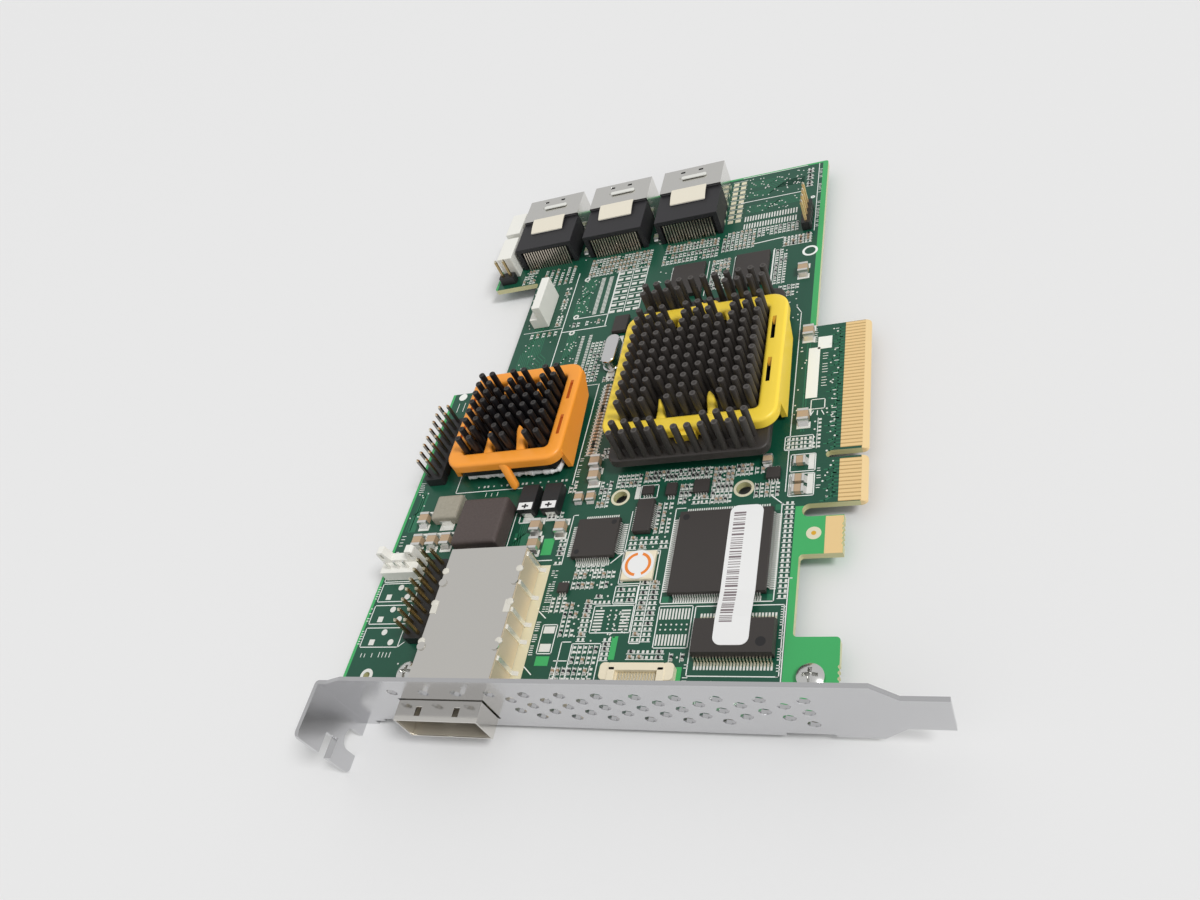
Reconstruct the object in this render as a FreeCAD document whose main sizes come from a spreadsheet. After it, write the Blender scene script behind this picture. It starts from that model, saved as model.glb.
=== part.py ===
import FreeCAD, Part

# RAID controller card: one board, its slot bracket and everything soldered or clipped to the board.
# Frame: X runs along the bracket towards the edge connector, Y runs from the bracket into the case, Z is up
# from the component face. The origin is where the board's left edge line meets the bracket's inner face,
# on the component face.

import os
import re
import sys

import Sketcher
from FreeCAD import Vector

sizes = {
    # board
    "board_thick": 1.57,
    "board_gap": 0.5,  # from the bracket's inner face to the board
    "board_right": 98.4,
    "board_far": 166.8,
    "notch_near": 91.5,
    "notch_far": 134.5,
    "notch_deep": 14.8,
    "finger_right": 111.15,
    "finger_near": 46.46,
    "key_near": 58.11,
    "key_wide": 1.9,
    "key_in": 102.5,
    "finger_far": 98.66,
    "finger_bevel": 1.3,
    "hook_right": 106.8,
    "hook_near": 34.3,
    "hook_far": 43.3,
    "foot_right": 107.0,
    "foot_far": 16.4,
    "spare_hole_r": 1.62,
    "spare_hole_x": 57.4,
    "spare_hole_y": 51.6,
    "spare_hole_step": 28.3,
    "ground_hole_x": 6.2,
    "ground_hole_y": 7.8,
    "ground_hole_r": 0.8,
    "bite_r": 0.45,
    "bite_step": 1.15,
    # bracket
    "sheet_thick": 0.86,
    "strip_left": 5.9,
    "strip_long": 120.02,
    "strip_top": 15.0,
    "strip_wide": 18.42,
    "tongue_wide": 10.19,
    "tongue_long": 7.4,
    "taper": 4.115,
    "tab_deep": 11.43,
    "tab_drop": 1.6,  # how far the folded tab lies below the strip
    "tab_ramp": 7.0,
    "screw_slot_r": 2.21,
    "screw_slot_y": 5.4,
    "screw_slot_deep": 5.2,
    "lip_slot_wide": 2.9,
    "lip_slot_deep": 4.3,
    "lip_slot_z": 4.4,
    "vent_r": 1.2,
    "vent_step": 7.33,
    "vent_rise": 2.2,
    "vent_x": 52.2,
    "vent_z": 5.8,
    "ear_long": 8.6,
    "ear_reach": 12.4,
    "screw_x": 17.1,
    "screw_step": 85.1,
    "screw_y": 8.2,
    # bracket screws
    "thread_r": 1.45,
    "thread_gap": 0.05,
    "hole_gap": 0.2,
    "screw_head_r": 2.45,
    "screw_head_tall": 1.8,
    "screw_end": 0.77,  # what stands out below the bracket's ear
    "cross_wide": 0.62,
    "cross_long": 2.5,
    "cross_deep": 0.9,
    # external port
    "cage_x": 32.45,
    "cage_wide": 18.9,
    "cage_tall": 7.3,
    "cage_front": -5.2,
    "cage_back": 34.7,
    "cage_wall": 0.3,
    "cage_window_wide": 1.3,
    "cage_window_long": 1.9,
    "cage_window_x": 4.35,
    "cage_window_in": 1.95,
    "cage_slot_wide": 0.8,
    "cage_tab_r": 0.95,
    "cage_tab_y": 10.8,
    "cage_tab_step": 15.2,
    "core_back_gap": 0.6,
    "cage_gap": 0.35,  # round the cage in the bracket
    "core_front": 6.0,
    "core_gap": 0.1,
    "blade_front": 0.4,
    "blade_wide": 14.4,
    "blade_thick": 1.0,
    # internal ports
    "port_x": 17.3,
    "port_step": 22.15,
    "port_edge_gap": 2.1,  # from the mouth to the board's far edge
    "port_long": 22.7,
    "port_wide": 18.1,
    "port_tall": 7.4,
    "shell_long": 10.6,
    "shell_wall": 0.3,
    "shell_gap": 0.05,
    "latch_wide": 10.0,
    "latch_long": 5.6,
    "port_mouth_tall": 6.3,
    "port_mouth_deep": 9.2,
    "port_mouth_low": 0.9,
    "port_mouth_side": 0.7,
    "port_blade_in": 4.6,
    "tail_count": 18,
    "tail_step_wide": 15.4,
    "bead_wide": 7.0,
    "bead_long": 1.1,
    "shell_top": 8.3,
    "tail_step": 0.8,
    "tail_wide": 0.36,
    "tail_tall": 5.9,
    # heatsinks and clips
    "chip_stand": 0.4,
    "chip_top": 2.6,
    "plate_top": 5.0,
    "pin_r": 0.75,
    "pin_step": 3.0,
    "pin_step_long": 3.04,
    "big_pin_top": 13.4,
    "big_x": 73.0,
    "big_y": 83.55,
    "big_chip": 35.0,
    "plate_edge": 0.53,  # from the last pins to the plate's near and far edges
    "plate_gap": 0.62,  # between the plate and the clip's skirts
    "bar_gap": 0.09,  # between the big clip's bars and the rows of pins beside them
    "side_gap": 0.27,  # between a clip's side bars and the outer pins
    "prong_gap": 0.5,
    "clip_top": 7.9,
    "slot_wide": 0.85,
    "slot_long": 5.7,
    "slot_at": 6.6,
    "big_skirt": 27.6,
    "small_pin_top": 12.5,
    "small_x": 28.0,
    "small_y": 73.9,
    "small_chip": 25.0,
    "small_plate_in": 0.8,  # from the clip's outer edge to the plate's
    "small_bar": 3.9,
    "small_skirt": 25.6,
    "skirt_thick": 1.3,
    "skirt_foot": 0.9,
    "skirt_out": 0.5,
    "skirt_slant": 3.6,
    "prong_wide": 1.7,
    "arm_lean": 2.6,
    "arm_thick": 0.9,
    # packages
    "lead_stand": 0.12,
    "flat_pack_tall": 1.5,
    "big_flat_pack": 20.0,
    "big_flat_pack_x": 82.9,
    "big_flat_pack_y": 35.5,
    "small_flat_pack": 10.0,
    "small_flat_pack_x": 54.3,
    "small_flat_pack_y": 40.2,
    "outline_pack_long": 15.9,
    "outline_pack_wide": 7.5,
    "outline_pack_tall": 2.5,
    "outline_pack_x": 87.7,
    "outline_pack_y": 15.6,
    "ram_wide": 9.0,
    "ram_long": 12.5,
    "ram_tall": 1.2,
    "ram_x": 63.0,
    "ram_y": 123.4,
    "ram_step": 17.6,
    "label_wide": 6.9,
    "label_thick": 0.12,
    # headers and lock connectors
    "pitch": 2.54,
    "post_wide": 0.64,
    "header_tall": 2.54,
    "lock_long": 9.9,
    "lock_long_four": 13.0,
    "lock_wide": 4.8,
    "lock_wall": 2.4,  # the four-way connector's back wall
    "hood_roof": 1.0,
    "hood_side": 0.8,
    "hood_deep": 3.4,
    "hook_gap": 0.15,  # between a clip's hooks and the chip they grip
    "pin_clear": 0.09,  # round a pin that is left out
    "lock_base": 3.3,
    "lock_tall": 7.3,
    "lock_ear": 1.9,
    "solder_tall": 1.5,
}

fitted = {  # what follows from the sizes above and the clearances
    "port_far": "board_far - port_edge_gap",
    "port_near": "port_far - port_long",
    "shell_near": "port_far - shell_long",
    "screw_long": "board_thick + sheet_thick + screw_end",
    "big_bar": "2 * pin_step_long - 2 * pin_r - 2 * bar_gap",
    "big_clip_long": "12 * pin_step_long + big_bar",
    "big_clip_wide": "10 * pin_step + 2 * pin_r + 2 * side_gap + 2 * big_bar",
    "big_plate_wide": "big_clip_wide - 2 * skirt_thick - 2 * plate_gap",
    "big_plate_long": "16 * pin_step_long + 2 * pin_r + 2 * plate_edge",
    "big_prong_long": "big_clip_long / 2 - big_bar - 3 * pin_step_long - pin_r - prong_gap",
    "small_clip_wide": "7 * pin_step + 2 * pin_r + 2 * side_gap + 2 * small_bar",
    "small_clip_long": "small_clip_wide",
    "small_plate_wide": "small_clip_wide - 2 * skirt_thick - 2 * plate_gap",
    "small_plate_long": "small_clip_long - 2 * small_plate_in",
    "small_prong_long": "small_clip_long / 2 - small_bar - 1.5 * pin_step - pin_r - prong_gap",
}

doc = FreeCAD.newDocument("raid_card")
sheet = doc.addObject("Spreadsheet::Sheet", "Sizes")
for row, (alias, value) in enumerate((sizes | fitted).items(), 1):
    sheet.set(f"A{row}", alias)
    sheet.set(f"B{row}", f"={value}" if alias in fitted else str(value))
    sheet.setAlias(f"B{row}", alias)
doc.recompute()

parts = []


def at(alias):
    """The sheet's number, for counts and for finding edges."""
    return float(sheet.get(alias))


def cells(text):
    """An expression with each word that names a cell written as Sizes.word."""
    named = sizes.keys() | fitted.keys()
    return re.sub(r"[a-z_]+", lambda word: f"Sizes.{word[0]}" if word[0] in named else word[0], text)


def bind(thing, **expressions):
    for name, text in expressions.items():
        thing.setExpression(name.replace("__", "."), cells(str(text)))
    return thing


def put(thing, x="0", y="0", z="0"):
    """Binds the thing's place; its own shape is drawn round its own origin."""
    return bind(thing, Placement__Base__x=x, Placement__Base__y=y, Placement__Base__z=z)


def keep(thing, label):
    thing.Label = label
    parts.append(thing)
    return thing


def body(name):
    return doc.addObject("PartDesign::Body", name)


def sketch(owner, role="XY_Plane", lift="0"):
    """An empty sketch on one of the body's own planes, moved along the plane's normal by lift."""
    drawn = owner.newObject("Sketcher::SketchObject", f"{owner.Name}_sketch")
    plane = next(f for f in owner.Origin.OriginFeatures if f.Role == role)
    drawn.AttachmentSupport = [(plane, "")]
    drawn.MapMode = "FlatFace"
    bind(drawn, AttachmentOffset__Base__z=lift)
    return drawn


def hold(drawn, geometry, point, x, y):
    """Pins one point of a sketch at the two expressions."""
    for kind, text in (("DistanceX", x), ("DistanceY", y)):
        number = drawn.addConstraint(Sketcher.Constraint(kind, -1, 1, geometry, point, 1.0))
        drawn.setExpression(f"Constraints[{number}]", cells(str(text)))


def outline(drawn, points):
    """A closed run of straight lines through points given as pairs of expressions."""
    first = drawn.GeometryCount
    count = len(points)
    ring = [Vector(10, 0, 0)]
    step = FreeCAD.Rotation(Vector(0, 0, 1), 360.0 / count)
    while len(ring) < count:
        ring.append(step.multVec(ring[-1]))
    for i in range(count):
        drawn.addGeometry(Part.LineSegment(ring[i], ring[(i + 1) % count]))
    for i in range(count):
        drawn.addConstraint(Sketcher.Constraint("Coincident", first + i, 2, first + (i + 1) % count, 1))
    for i, (x, y) in enumerate(points):
        hold(drawn, first + i, 1, x, y)
    return drawn


def block(drawn, x, y, wide, long):
    """A rectangle round the middle x, y."""
    left, right = f"{x} - ({wide}) / 2", f"{x} + ({wide}) / 2"
    near, far = f"{y} - ({long}) / 2", f"{y} + ({long}) / 2"
    return outline(drawn, [(left, near), (right, near), (right, far), (left, far)])


def polygon(x, y, radius, sides):
    """The corners of a regular polygon round x, y, as expressions: a light stand-in for a repeated circle."""
    turn = FreeCAD.Rotation(Vector(0, 0, 1), 360.0 / sides)
    corner, corners = Vector(1, 0, 0), []
    for _ in range(sides):
        corners.append((f"{x} + ({radius}) * ({corner.x:.6f})", f"{y} + ({radius}) * ({corner.y:.6f})"))
        corner = turn.multVec(corner)
    return corners


def circle(drawn, x, y, radius):
    apart = 3.0 * drawn.GeometryCount  # no two circles start at one place
    number = drawn.addGeometry(Part.Circle(Vector(apart, 0, 0), Vector(0, 0, 1), 1.0))
    hold(drawn, number, 3, x, y)
    size = drawn.addConstraint(Sketcher.Constraint("Radius", number, 1.0))
    drawn.setExpression(f"Constraints[{size}]", cells(str(radius)))
    return drawn


def feature(owner, kind, drawn, length, **settings):
    made = owner.newObject(f"PartDesign::{kind}", f"{owner.Name}_{kind.lower()}")
    made.Profile = drawn
    if length == "through":
        made.Type = "ThroughAll"
        made.Midplane = True
    else:
        bind(made, Length=length)
    for name, value in settings.items():
        setattr(made, name, value)
    drawn.Visibility = False
    return made


def pad(owner, drawn, length, **settings):
    return feature(owner, "Pad", drawn, length, **settings)


def pocket(owner, drawn, length="through", **settings):
    return feature(owner, "Pocket", drawn, length, **settings)


def rows(owner, source, runs):
    """Repeats a feature along the body's axes: runs holds (axis role, expression of the step, count)."""
    made = owner.newObject("PartDesign::MultiTransform", f"{owner.Name}_rows")
    made.Originals = [source]
    steps = []
    for role, step, count in runs:
        run = owner.newObject("PartDesign::LinearPattern", f"{owner.Name}_run")
        axis = next(f for f in owner.Origin.OriginFeatures if f.Role == role)
        run.Direction = (axis, [""])
        run.Mode = "Spacing"
        run.Occurrences = count
        bind(run, Offset=step)
        steps.append(run)
    made.Transformations = steps
    owner.Tip = made
    return made


def dress(owner, kind, edges, **settings):
    """A fillet or chamfer on the last feature's edges that the test picks."""
    doc.recompute()
    base = owner.Tip
    names = [f"Edge{i}" for i, edge in enumerate(base.Shape.Edges, 1) if edges(edge)]
    made = owner.newObject(f"PartDesign::{kind}", f"{owner.Name}_{kind.lower()}")
    made.Base = (base, names)
    bind(made, **settings)
    return made


def upright(spots, reach=0.05):
    """Picks the edges along Z that stand on any of the spots."""

    def test(edge):
        a, b = edge.Vertexes[0].Point, edge.Vertexes[-1].Point
        if abs(a.x - b.x) > 1e-6 or abs(a.y - b.y) > 1e-6 or abs(a.z - b.z) < 1e-6:
            return False
        return any(abs(a.x - x) < reach and abs(a.y - y) < reach for x, y in spots)

    return test


def level(z, inside=None):
    """Picks the edges that lie in the plane z, or those of them inside a box of x and y."""

    def test(edge):
        box = edge.BoundBox
        flat = abs(box.ZMin - z) < 1e-4 and abs(box.ZMax - z) < 1e-4
        if not flat or inside is None:
            return flat
        x0, y0, x1, y1 = inside
        return x0 < box.XMin and box.XMax < x1 and y0 < box.YMin and box.YMax < y1

    return test


def group(label, shapes):
    """Several identical solids as one sub-part."""
    made = doc.addObject("Part::Feature", label)
    made.Shape = Part.makeCompound(shapes)
    return keep(made, label)


def board():
    b = body("board")
    edge = [
        ("0", "board_gap"), ("foot_right", "board_gap"), ("foot_right", "foot_far"), ("board_right", "foot_far"),
        ("board_right", "hook_near"), ("hook_right", "hook_near"), ("hook_right", "hook_far"),
        ("board_right", "hook_far"), ("board_right", "finger_near"), ("finger_right", "finger_near"),
        ("finger_right", "key_near"), ("key_in", "key_near"), ("key_in", "key_near + key_wide"),
        ("finger_right", "key_near + key_wide"), ("finger_right", "finger_far"), ("board_right", "finger_far"),
        ("board_right", "board_far"), ("0", "board_far"), ("0", "notch_far"), ("notch_deep", "notch_far"),
        ("notch_deep", "notch_near"), ("0", "notch_near"),
    ]
    pad(b, outline(sketch(b), edge), "board_thick", Reversed=True)
    right, finger, near = at("board_right"), at("finger_right"), at("key_near")
    slot = [(at("key_in"), near), (at("key_in"), near + at("key_wide"))]
    dress(b, "Fillet", upright(slot), Radius="key_wide / 2 - 0.01")
    gap = [(right, at("hook_far")), (right, at("finger_near"))]
    dress(b, "Fillet", upright(gap), Radius="(finger_near - hook_far) / 2 - 0.1")
    corners = [(right, at("board_far")), (finger, at("finger_near")), (finger, at("finger_far")),
               (0, at("board_far")), (0, at("notch_far")), (at("foot_right"), at("foot_far")),
               (right, at("foot_far")), (right, at("hook_near")), (at("notch_deep"), at("notch_far")),
               (at("notch_deep"), at("notch_near")), (finger, near), (finger, near + at("key_wide"))]
    dress(b, "Fillet", upright(corners), Radius="0.8")

    bevel = sketch(b, "XZ_Plane")
    start, depth = "finger_right - finger_bevel", "finger_bevel * 0.36"
    for face, sign in (("0", "-"), ("0 - board_thick", "+")):
        out = "-1" if sign == "+" else "1"
        outline(bevel, [(start, face), ("finger_right + 1", f"{face} {sign} {depth} * (1 + finger_bevel) / finger_bevel"),
                        ("finger_right + 1", f"{face} + ({out})"), (start, f"{face} + ({out})")])
    pocket(b, bevel)

    holes = sketch(b)
    for k in range(2):
        circle(holes, f"spare_hole_x + {k} * spare_hole_step", "spare_hole_y", "spare_hole_r")
        outline(holes, polygon(f"screw_x + {k} * screw_step", "screw_y", "thread_r + hole_gap", 16))
    outline(holes, polygon("ground_hole_x", "ground_hole_y", "ground_hole_r", 12))
    pocket(b, holes)

    bites = sketch(b)
    for k in range(5):
        middle = f"(hook_near + hook_far) / 2 + ({k - 2}) * bite_step"
        outline(bites, polygon("hook_right + bite_r / 3", middle, "bite_r", 8))
    for k in range(4):
        middle = f"screw_y - bite_step + {k} * bite_step"
        outline(bites, polygon("foot_right + bite_r / 3", middle, "bite_r", 8))
    pocket(b, bites)
    keep(b, "board")


def bracket():
    b = body("bracket")
    bottom = "strip_top - strip_wide"
    tip = "strip_left + strip_long"
    middle = "strip_top - strip_wide / 2"
    root = "board_thick + sheet_thick"
    ears = [f"screw_x + {k} * screw_step" for k in range(2)]
    face = [
        ("strip_left", "strip_top - tab_drop"), ("strip_left + tab_ramp * 0.4", "strip_top - tab_drop"),
        ("strip_left + tab_ramp", "strip_top"), (f"{tip} - tongue_long - taper", "strip_top"),
        (f"{tip} - tongue_long", f"{middle} + tongue_wide / 2"), (tip, f"{middle} + tongue_wide / 2"),
        (tip, f"{middle} - tongue_wide / 2"), (f"{tip} - tongue_long", f"{middle} - tongue_wide / 2"),
        (f"{tip} - tongue_long - taper", bottom),
    ]
    for ear in reversed(ears):
        face += [(f"{ear} + ear_long / 2", bottom), (f"{ear} + ear_long / 2", f"0 - ({root})"),
                 (f"{ear} - ear_long / 2", f"0 - ({root})"), (f"{ear} - ear_long / 2", bottom)]
    face += [("strip_left + tab_ramp * 0.6", bottom), ("strip_left + tab_ramp * 0.6", f"{bottom} - tab_drop"),
             ("strip_left", f"{bottom} - tab_drop")]
    pad(b, outline(sketch(b, "XZ_Plane"), face), "sheet_thick")

    flap = sketch(b, "YZ_Plane", "strip_left")
    tab_top, tab_low = "strip_top - tab_drop", f"{bottom} - tab_drop"
    outer = "0 - sheet_thick / 2 - tab_deep"
    lip, side = "lip_slot_z", "0 - screw_slot_y - sheet_thick / 2"
    flap_edge = [
        ("0 - sheet_thick / 2", tab_top), ("0 - sheet_thick / 2", tab_low),
        (f"{side} + screw_slot_r", tab_low), (f"{side} + screw_slot_r", f"{tab_low} + screw_slot_deep - screw_slot_r"),
        (f"{side} - screw_slot_r", f"{tab_low} + screw_slot_deep - screw_slot_r"), (f"{side} - screw_slot_r", tab_low),
        (outer, tab_low), (outer, f"{lip} - lip_slot_wide / 2"),
        (f"{outer} + lip_slot_deep", f"{lip} - lip_slot_wide / 2"),
        (f"{outer} + lip_slot_deep", f"{lip} + lip_slot_wide / 2"), (outer, f"{lip} + lip_slot_wide / 2"),
        (outer, tab_top),
    ]
    pad(b, outline(flap, flap_edge), "sheet_thick")
    round_end = sketch(b, "YZ_Plane")
    circle(round_end, side, f"{tab_low} + screw_slot_deep - screw_slot_r", "screw_slot_r")
    pocket(b, round_end, "strip_left + 2 * sheet_thick", Reversed=True)

    lips = sketch(b, "YZ_Plane", "strip_left + sheet_thick")
    block(lips, f"{outer} + lip_slot_deep / 2", f"{lip} - lip_slot_wide / 2 - sheet_thick / 4",
          "lip_slot_deep", "sheet_thick / 2")
    pad(b, lips, "sheet_thick")

    for ear in ears:
        shelf = sketch(b, "XY_Plane", f"0 - ({root})")
        block(shelf, ear, "ear_reach / 2 - sheet_thick / 2", "ear_long", "ear_reach + sheet_thick")
        outline(shelf, polygon(ear, "screw_y", "thread_r + thread_gap", 16))
        pad(b, shelf, "sheet_thick")

    window = sketch(b, "XZ_Plane")
    block(window, "cage_x", "cage_tall / 2", "cage_wide + 2 * cage_gap", "cage_tall + 2 * cage_gap")
    pocket(b, window)

    left, low = "vent_x - vent_step / 2", "vent_z - 2 * vent_rise"
    runs = [  # first hole's x, its z, and how many stand in the row
        ("vent_x - 4 * vent_step", "vent_z + 2 * vent_rise", 12), (left, "vent_z + vent_rise", 8),
        ("vent_x", "vent_z", 8), (left, "vent_z - vent_rise", 8), ("vent_x", low, 6),
        ("vent_x + 7 * vent_step", low, 1),
    ]
    for x, z, count in runs:
        vent = outline(sketch(b, "XZ_Plane"), polygon(x, z, "vent_r", 8))
        punched = pocket(b, vent)
        if count > 1:
            rows(b, punched, [("X_Axis", "vent_step", count)])
    fold = at("strip_left")

    def fold_edge(edge):
        box = edge.BoundBox
        return box.XMax < fold + 0.01 and abs(box.YMax + at("sheet_thick")) > 0.1 and box.YMin > -0.01

    dress(b, "Fillet", fold_edge, Radius="sheet_thick")
    end = 0 - at("sheet_thick") / 2 - at("tab_deep")
    tops = [at("strip_top") - at("tab_drop"), at("strip_top") - at("strip_wide") - at("tab_drop")]

    def tab_corner(edge):
        a, c = edge.Vertexes[0].Point, edge.Vertexes[-1].Point
        across = abs(a.x - c.x) > 0.5 and abs(a.y - c.y) + abs(a.z - c.z) < 1e-6
        return across and abs(a.y - end) < 0.05 and any(abs(a.z - z) < 0.05 for z in tops)

    dress(b, "Fillet", tab_corner, Radius="1.3")
    keep(b, "bracket")


def bracket_screws():
    """Pan-head cross-recess screws from above through the board into the bracket's ears."""
    one = body("screw")
    pad(one, outline(sketch(one), polygon("0", "0", "thread_r", 16)), "screw_long", Reversed=True)
    pad(one, outline(sketch(one), polygon("0", "0", "screw_head_r", 16)), "screw_head_tall")
    doc.recompute()
    dress(one, "Chamfer", level(at("screw_head_tall")), Size="screw_head_tall * 0.4")
    cross = sketch(one, "XY_Plane", "screw_head_tall")
    long, wide = "cross_long / 2", "cross_wide / 2"
    outline(cross, [(wide, wide), (long, wide), (long, f"0 - {wide}"), (wide, f"0 - {wide}"), (wide, f"0 - {long}"),
                    (f"0 - {wide}", f"0 - {long}"), (f"0 - {wide}", f"0 - {wide}"), (f"0 - {long}", f"0 - {wide}"),
                    (f"0 - {long}", wide), (f"0 - {wide}", wide), (f"0 - {wide}", long), (wide, long)])
    pocket(one, cross, "cross_deep")
    doc.recompute()
    group("bracket_screws", [one.Shape.translated(Vector(at("screw_x") + k * at("screw_step"), at("screw_y"), 0))
                             for k in range(2)])


def external_port():
    cage = body("external_cage")
    tube = sketch(cage, "XZ_Plane", "0 - cage_back")
    block(tube, "0", "cage_tall / 2", "cage_wide", "cage_tall")
    block(tube, "0", "cage_tall / 2", "cage_wide - 2 * cage_wall", "cage_tall - 2 * cage_wall")
    pad(cage, tube, "cage_back - cage_front")
    windows = sketch(cage, "XY_Plane", "cage_tall")
    for side in ("-", "+"):
        block(windows, f"0 {side} cage_window_x", "cage_front + cage_window_in", "cage_window_wide", "cage_window_long")
        block(windows, f"0 {side} (cage_wide / 2 - cage_wall)", "20", "4 * cage_wall", "2.6")
    pocket(cage, windows, "2 * cage_wall")
    flanks = sketch(cage, "YZ_Plane")
    for k in range(2):
        block(flanks, f"cage_tab_y + {k} * cage_tab_step + cage_slot_wide", "cage_tall * 0.45", "cage_slot_wide",
              "cage_tall * 0.6")
    block(flanks, "cage_back - 1.2", "cage_tall * 0.78", "2.8", "cage_tall * 0.25")
    pocket(cage, flanks)
    tabs = sketch(cage, "XY_Plane", "cage_tall")
    for side in ("-", "+"):
        for k in range(2):
            outline(tabs, polygon(f"0 {side} (cage_wide / 2 - cage_tab_r * 0.7)", f"cage_tab_y + {k} * cage_tab_step",
                                  "cage_tab_r", 12))
    pad(cage, tabs, "cage_wall")
    keep(put(cage, x="cage_x"), "external_cage")

    core = body("external_core")
    room = "2 * cage_wall + 2 * core_gap"
    filled = sketch(core, "XZ_Plane", "0 - cage_back + core_back_gap")
    block(filled, "0", "cage_tall / 2", f"cage_wide - ({room})", f"cage_tall - ({room})")
    pad(core, filled, "cage_back - core_back_gap - core_front")
    blade = sketch(core, "XZ_Plane", "0 - core_front")
    block(blade, "0", "cage_tall / 2", "blade_wide", "blade_thick")
    pad(core, blade, "core_front - blade_front")
    keep(put(core, x="cage_x"), "external_core")


def internal_ports():
    for k in range(3):
        place = {"x": f"port_x + {k} * port_step"}
        inner = "port_wide - 2 * shell_wall - 2 * shell_gap"
        core = body(f"port_body_{k + 1}")
        block(flat := sketch(core), "0", "(port_near + shell_near) / 2", "port_wide", "shell_near - port_near")
        pad(core, flat, "port_tall")
        block(back := sketch(core), "0", "(shell_near + port_far) / 2 - 0.1", inner, "port_far - shell_near + 0.2")
        pad(core, back, "shell_top - shell_wall - shell_gap")
        block(step := sketch(core, "XY_Plane", "tail_tall + 0.2"), "0", "port_near", "tail_step_wide", "2.4")
        pocket(core, step, "tail_tall + 0.2", Reversed=False)
        mouth = sketch(core, "XZ_Plane", "0 - port_far")
        middle = "port_mouth_low + port_mouth_tall / 2"
        block(mouth, "0", middle, f"{inner} - 2 * port_mouth_side", "port_mouth_tall")
        pocket(core, mouth, "port_mouth_deep", Reversed=True)
        blade = sketch(core, "XZ_Plane", "0 - port_far + port_blade_in")
        block(blade, "0", middle, "blade_wide", "blade_thick")
        pad(core, blade, "port_mouth_deep - port_blade_in + 0.4", Reversed=False)
        keep(put(core, **place), f"port_body_{k + 1}")

        shell = body(f"port_shell_{k + 1}")
        arch = sketch(shell, "XZ_Plane", "0 - port_far")
        half, top, wall = "port_wide / 2", "shell_top", "shell_wall"
        outline(arch, [(f"0 - {half}", "0"), (f"0 - {half} + {wall}", "0"), (f"0 - {half} + {wall}", f"{top} - {wall}"),
                       (f"{half} - {wall}", f"{top} - {wall}"), (f"{half} - {wall}", "0"), (half, "0"),
                       (half, top), (f"0 - {half}", top)])
        pad(shell, arch, "port_far - shell_near - 0.3")
        latch = sketch(shell, "YZ_Plane", "0 - latch_wide / 2")
        low = "port_tall + shell_gap"
        outline(latch, [("shell_near + 0.3", f"{top} - {wall}"), ("shell_near + 0.3", top), ("shell_near", top),
                        ("shell_near - latch_long", f"{low} + {wall}"), ("shell_near - latch_long", low),
                        ("shell_near", f"{top} - {wall}")])
        pad(shell, latch, "latch_wide")
        bead = sketch(shell, "XY_Plane", "shell_top - 0.05")
        block(bead, "0 - 0.4", "port_far - 4.1", "bead_wide", "bead_long")
        pad(shell, bead, "0.3")
        nicks = sketch(shell, "XY_Plane", "shell_top")
        for x in ("0 - 3.1", "2.3"):
            block(nicks, x, "port_far - 1.8", "1.3", "0.8")
        pocket(shell, nicks, "shell_wall")
        keep(put(shell, **place), f"port_shell_{k + 1}")

        tails = []
        near, tall, thick = at("port_near"), at("tail_tall"), 0.25
        side = [(near + 1.15, tall - thick), (near + 1.15, tall), (near + 0.15, tall), (near - 0.6, 0), (near - 0.2, 0),
                (near + 0.35, tall - thick)]
        count = int(at("tail_count"))
        first = at("port_x") + k * at("port_step") - ((count - 1) * at("tail_step") + at("tail_wide")) / 2
        for i in range(count):
            wire = Part.makePolygon([Vector(first + i * at("tail_step"), y, z) for y, z in side + side[:1]])
            tails.append(Part.Face(wire).extrude(Vector(at("tail_wide"), 0, 0)))
        group(f"port_contacts_{k + 1}", tails)


def heatsink(name, x, y, chip, wide, long, pins_across, pins_along, step_along, top, gaps):
    """A forged pin heatsink: gaps lists, in pin steps from the middle, the blocks that have no pins."""
    die = body(f"{name}_chip")
    block(flat := sketch(die, "XY_Plane", "chip_stand"), "0", "0", chip, chip)
    pad(die, flat, "chip_top - chip_stand")
    keep(put(die, x, y), f"{name}_chip")

    sink = body(f"{name}_heatsink")
    block(plate := sketch(sink, "XY_Plane", "chip_top"), "0", "0", wide, long)
    pad(sink, plate, "plate_top - chip_top")
    dress(sink, "Fillet", upright([(a * at(wide) / 2, b * at(long) / 2) for a in (-1, 1) for b in (-1, 1)]), Radius="2")
    one = sketch(sink, "XY_Plane", "plate_top")
    left, near = f"0 - {(pins_across - 1) / 2} * pin_step", f"0 - {(pins_along - 1) / 2} * {step_along}"
    outline(one, polygon(left, near, "pin_r", 6))
    pin = pad(sink, one, f"{top} - plate_top")
    rows(sink, pin, [("X_Axis", "pin_step", pins_across), ("Y_Axis", step_along, pins_along)])
    clear = sketch(sink, "XY_Plane", top)
    for middle_x, middle_y, across, along in gaps:
        block(clear, f"{middle_x} * pin_step", f"{middle_y} * {step_along}",
              f"{across - 1} * pin_step + 2 * pin_r + 2 * pin_clear",
              f"{along - 1} * {step_along} + 2 * pin_r + 2 * pin_clear")
    pocket(sink, clear, f"{top} - plate_top")
    keep(put(sink, x, y), f"{name}_heatsink")


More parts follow.
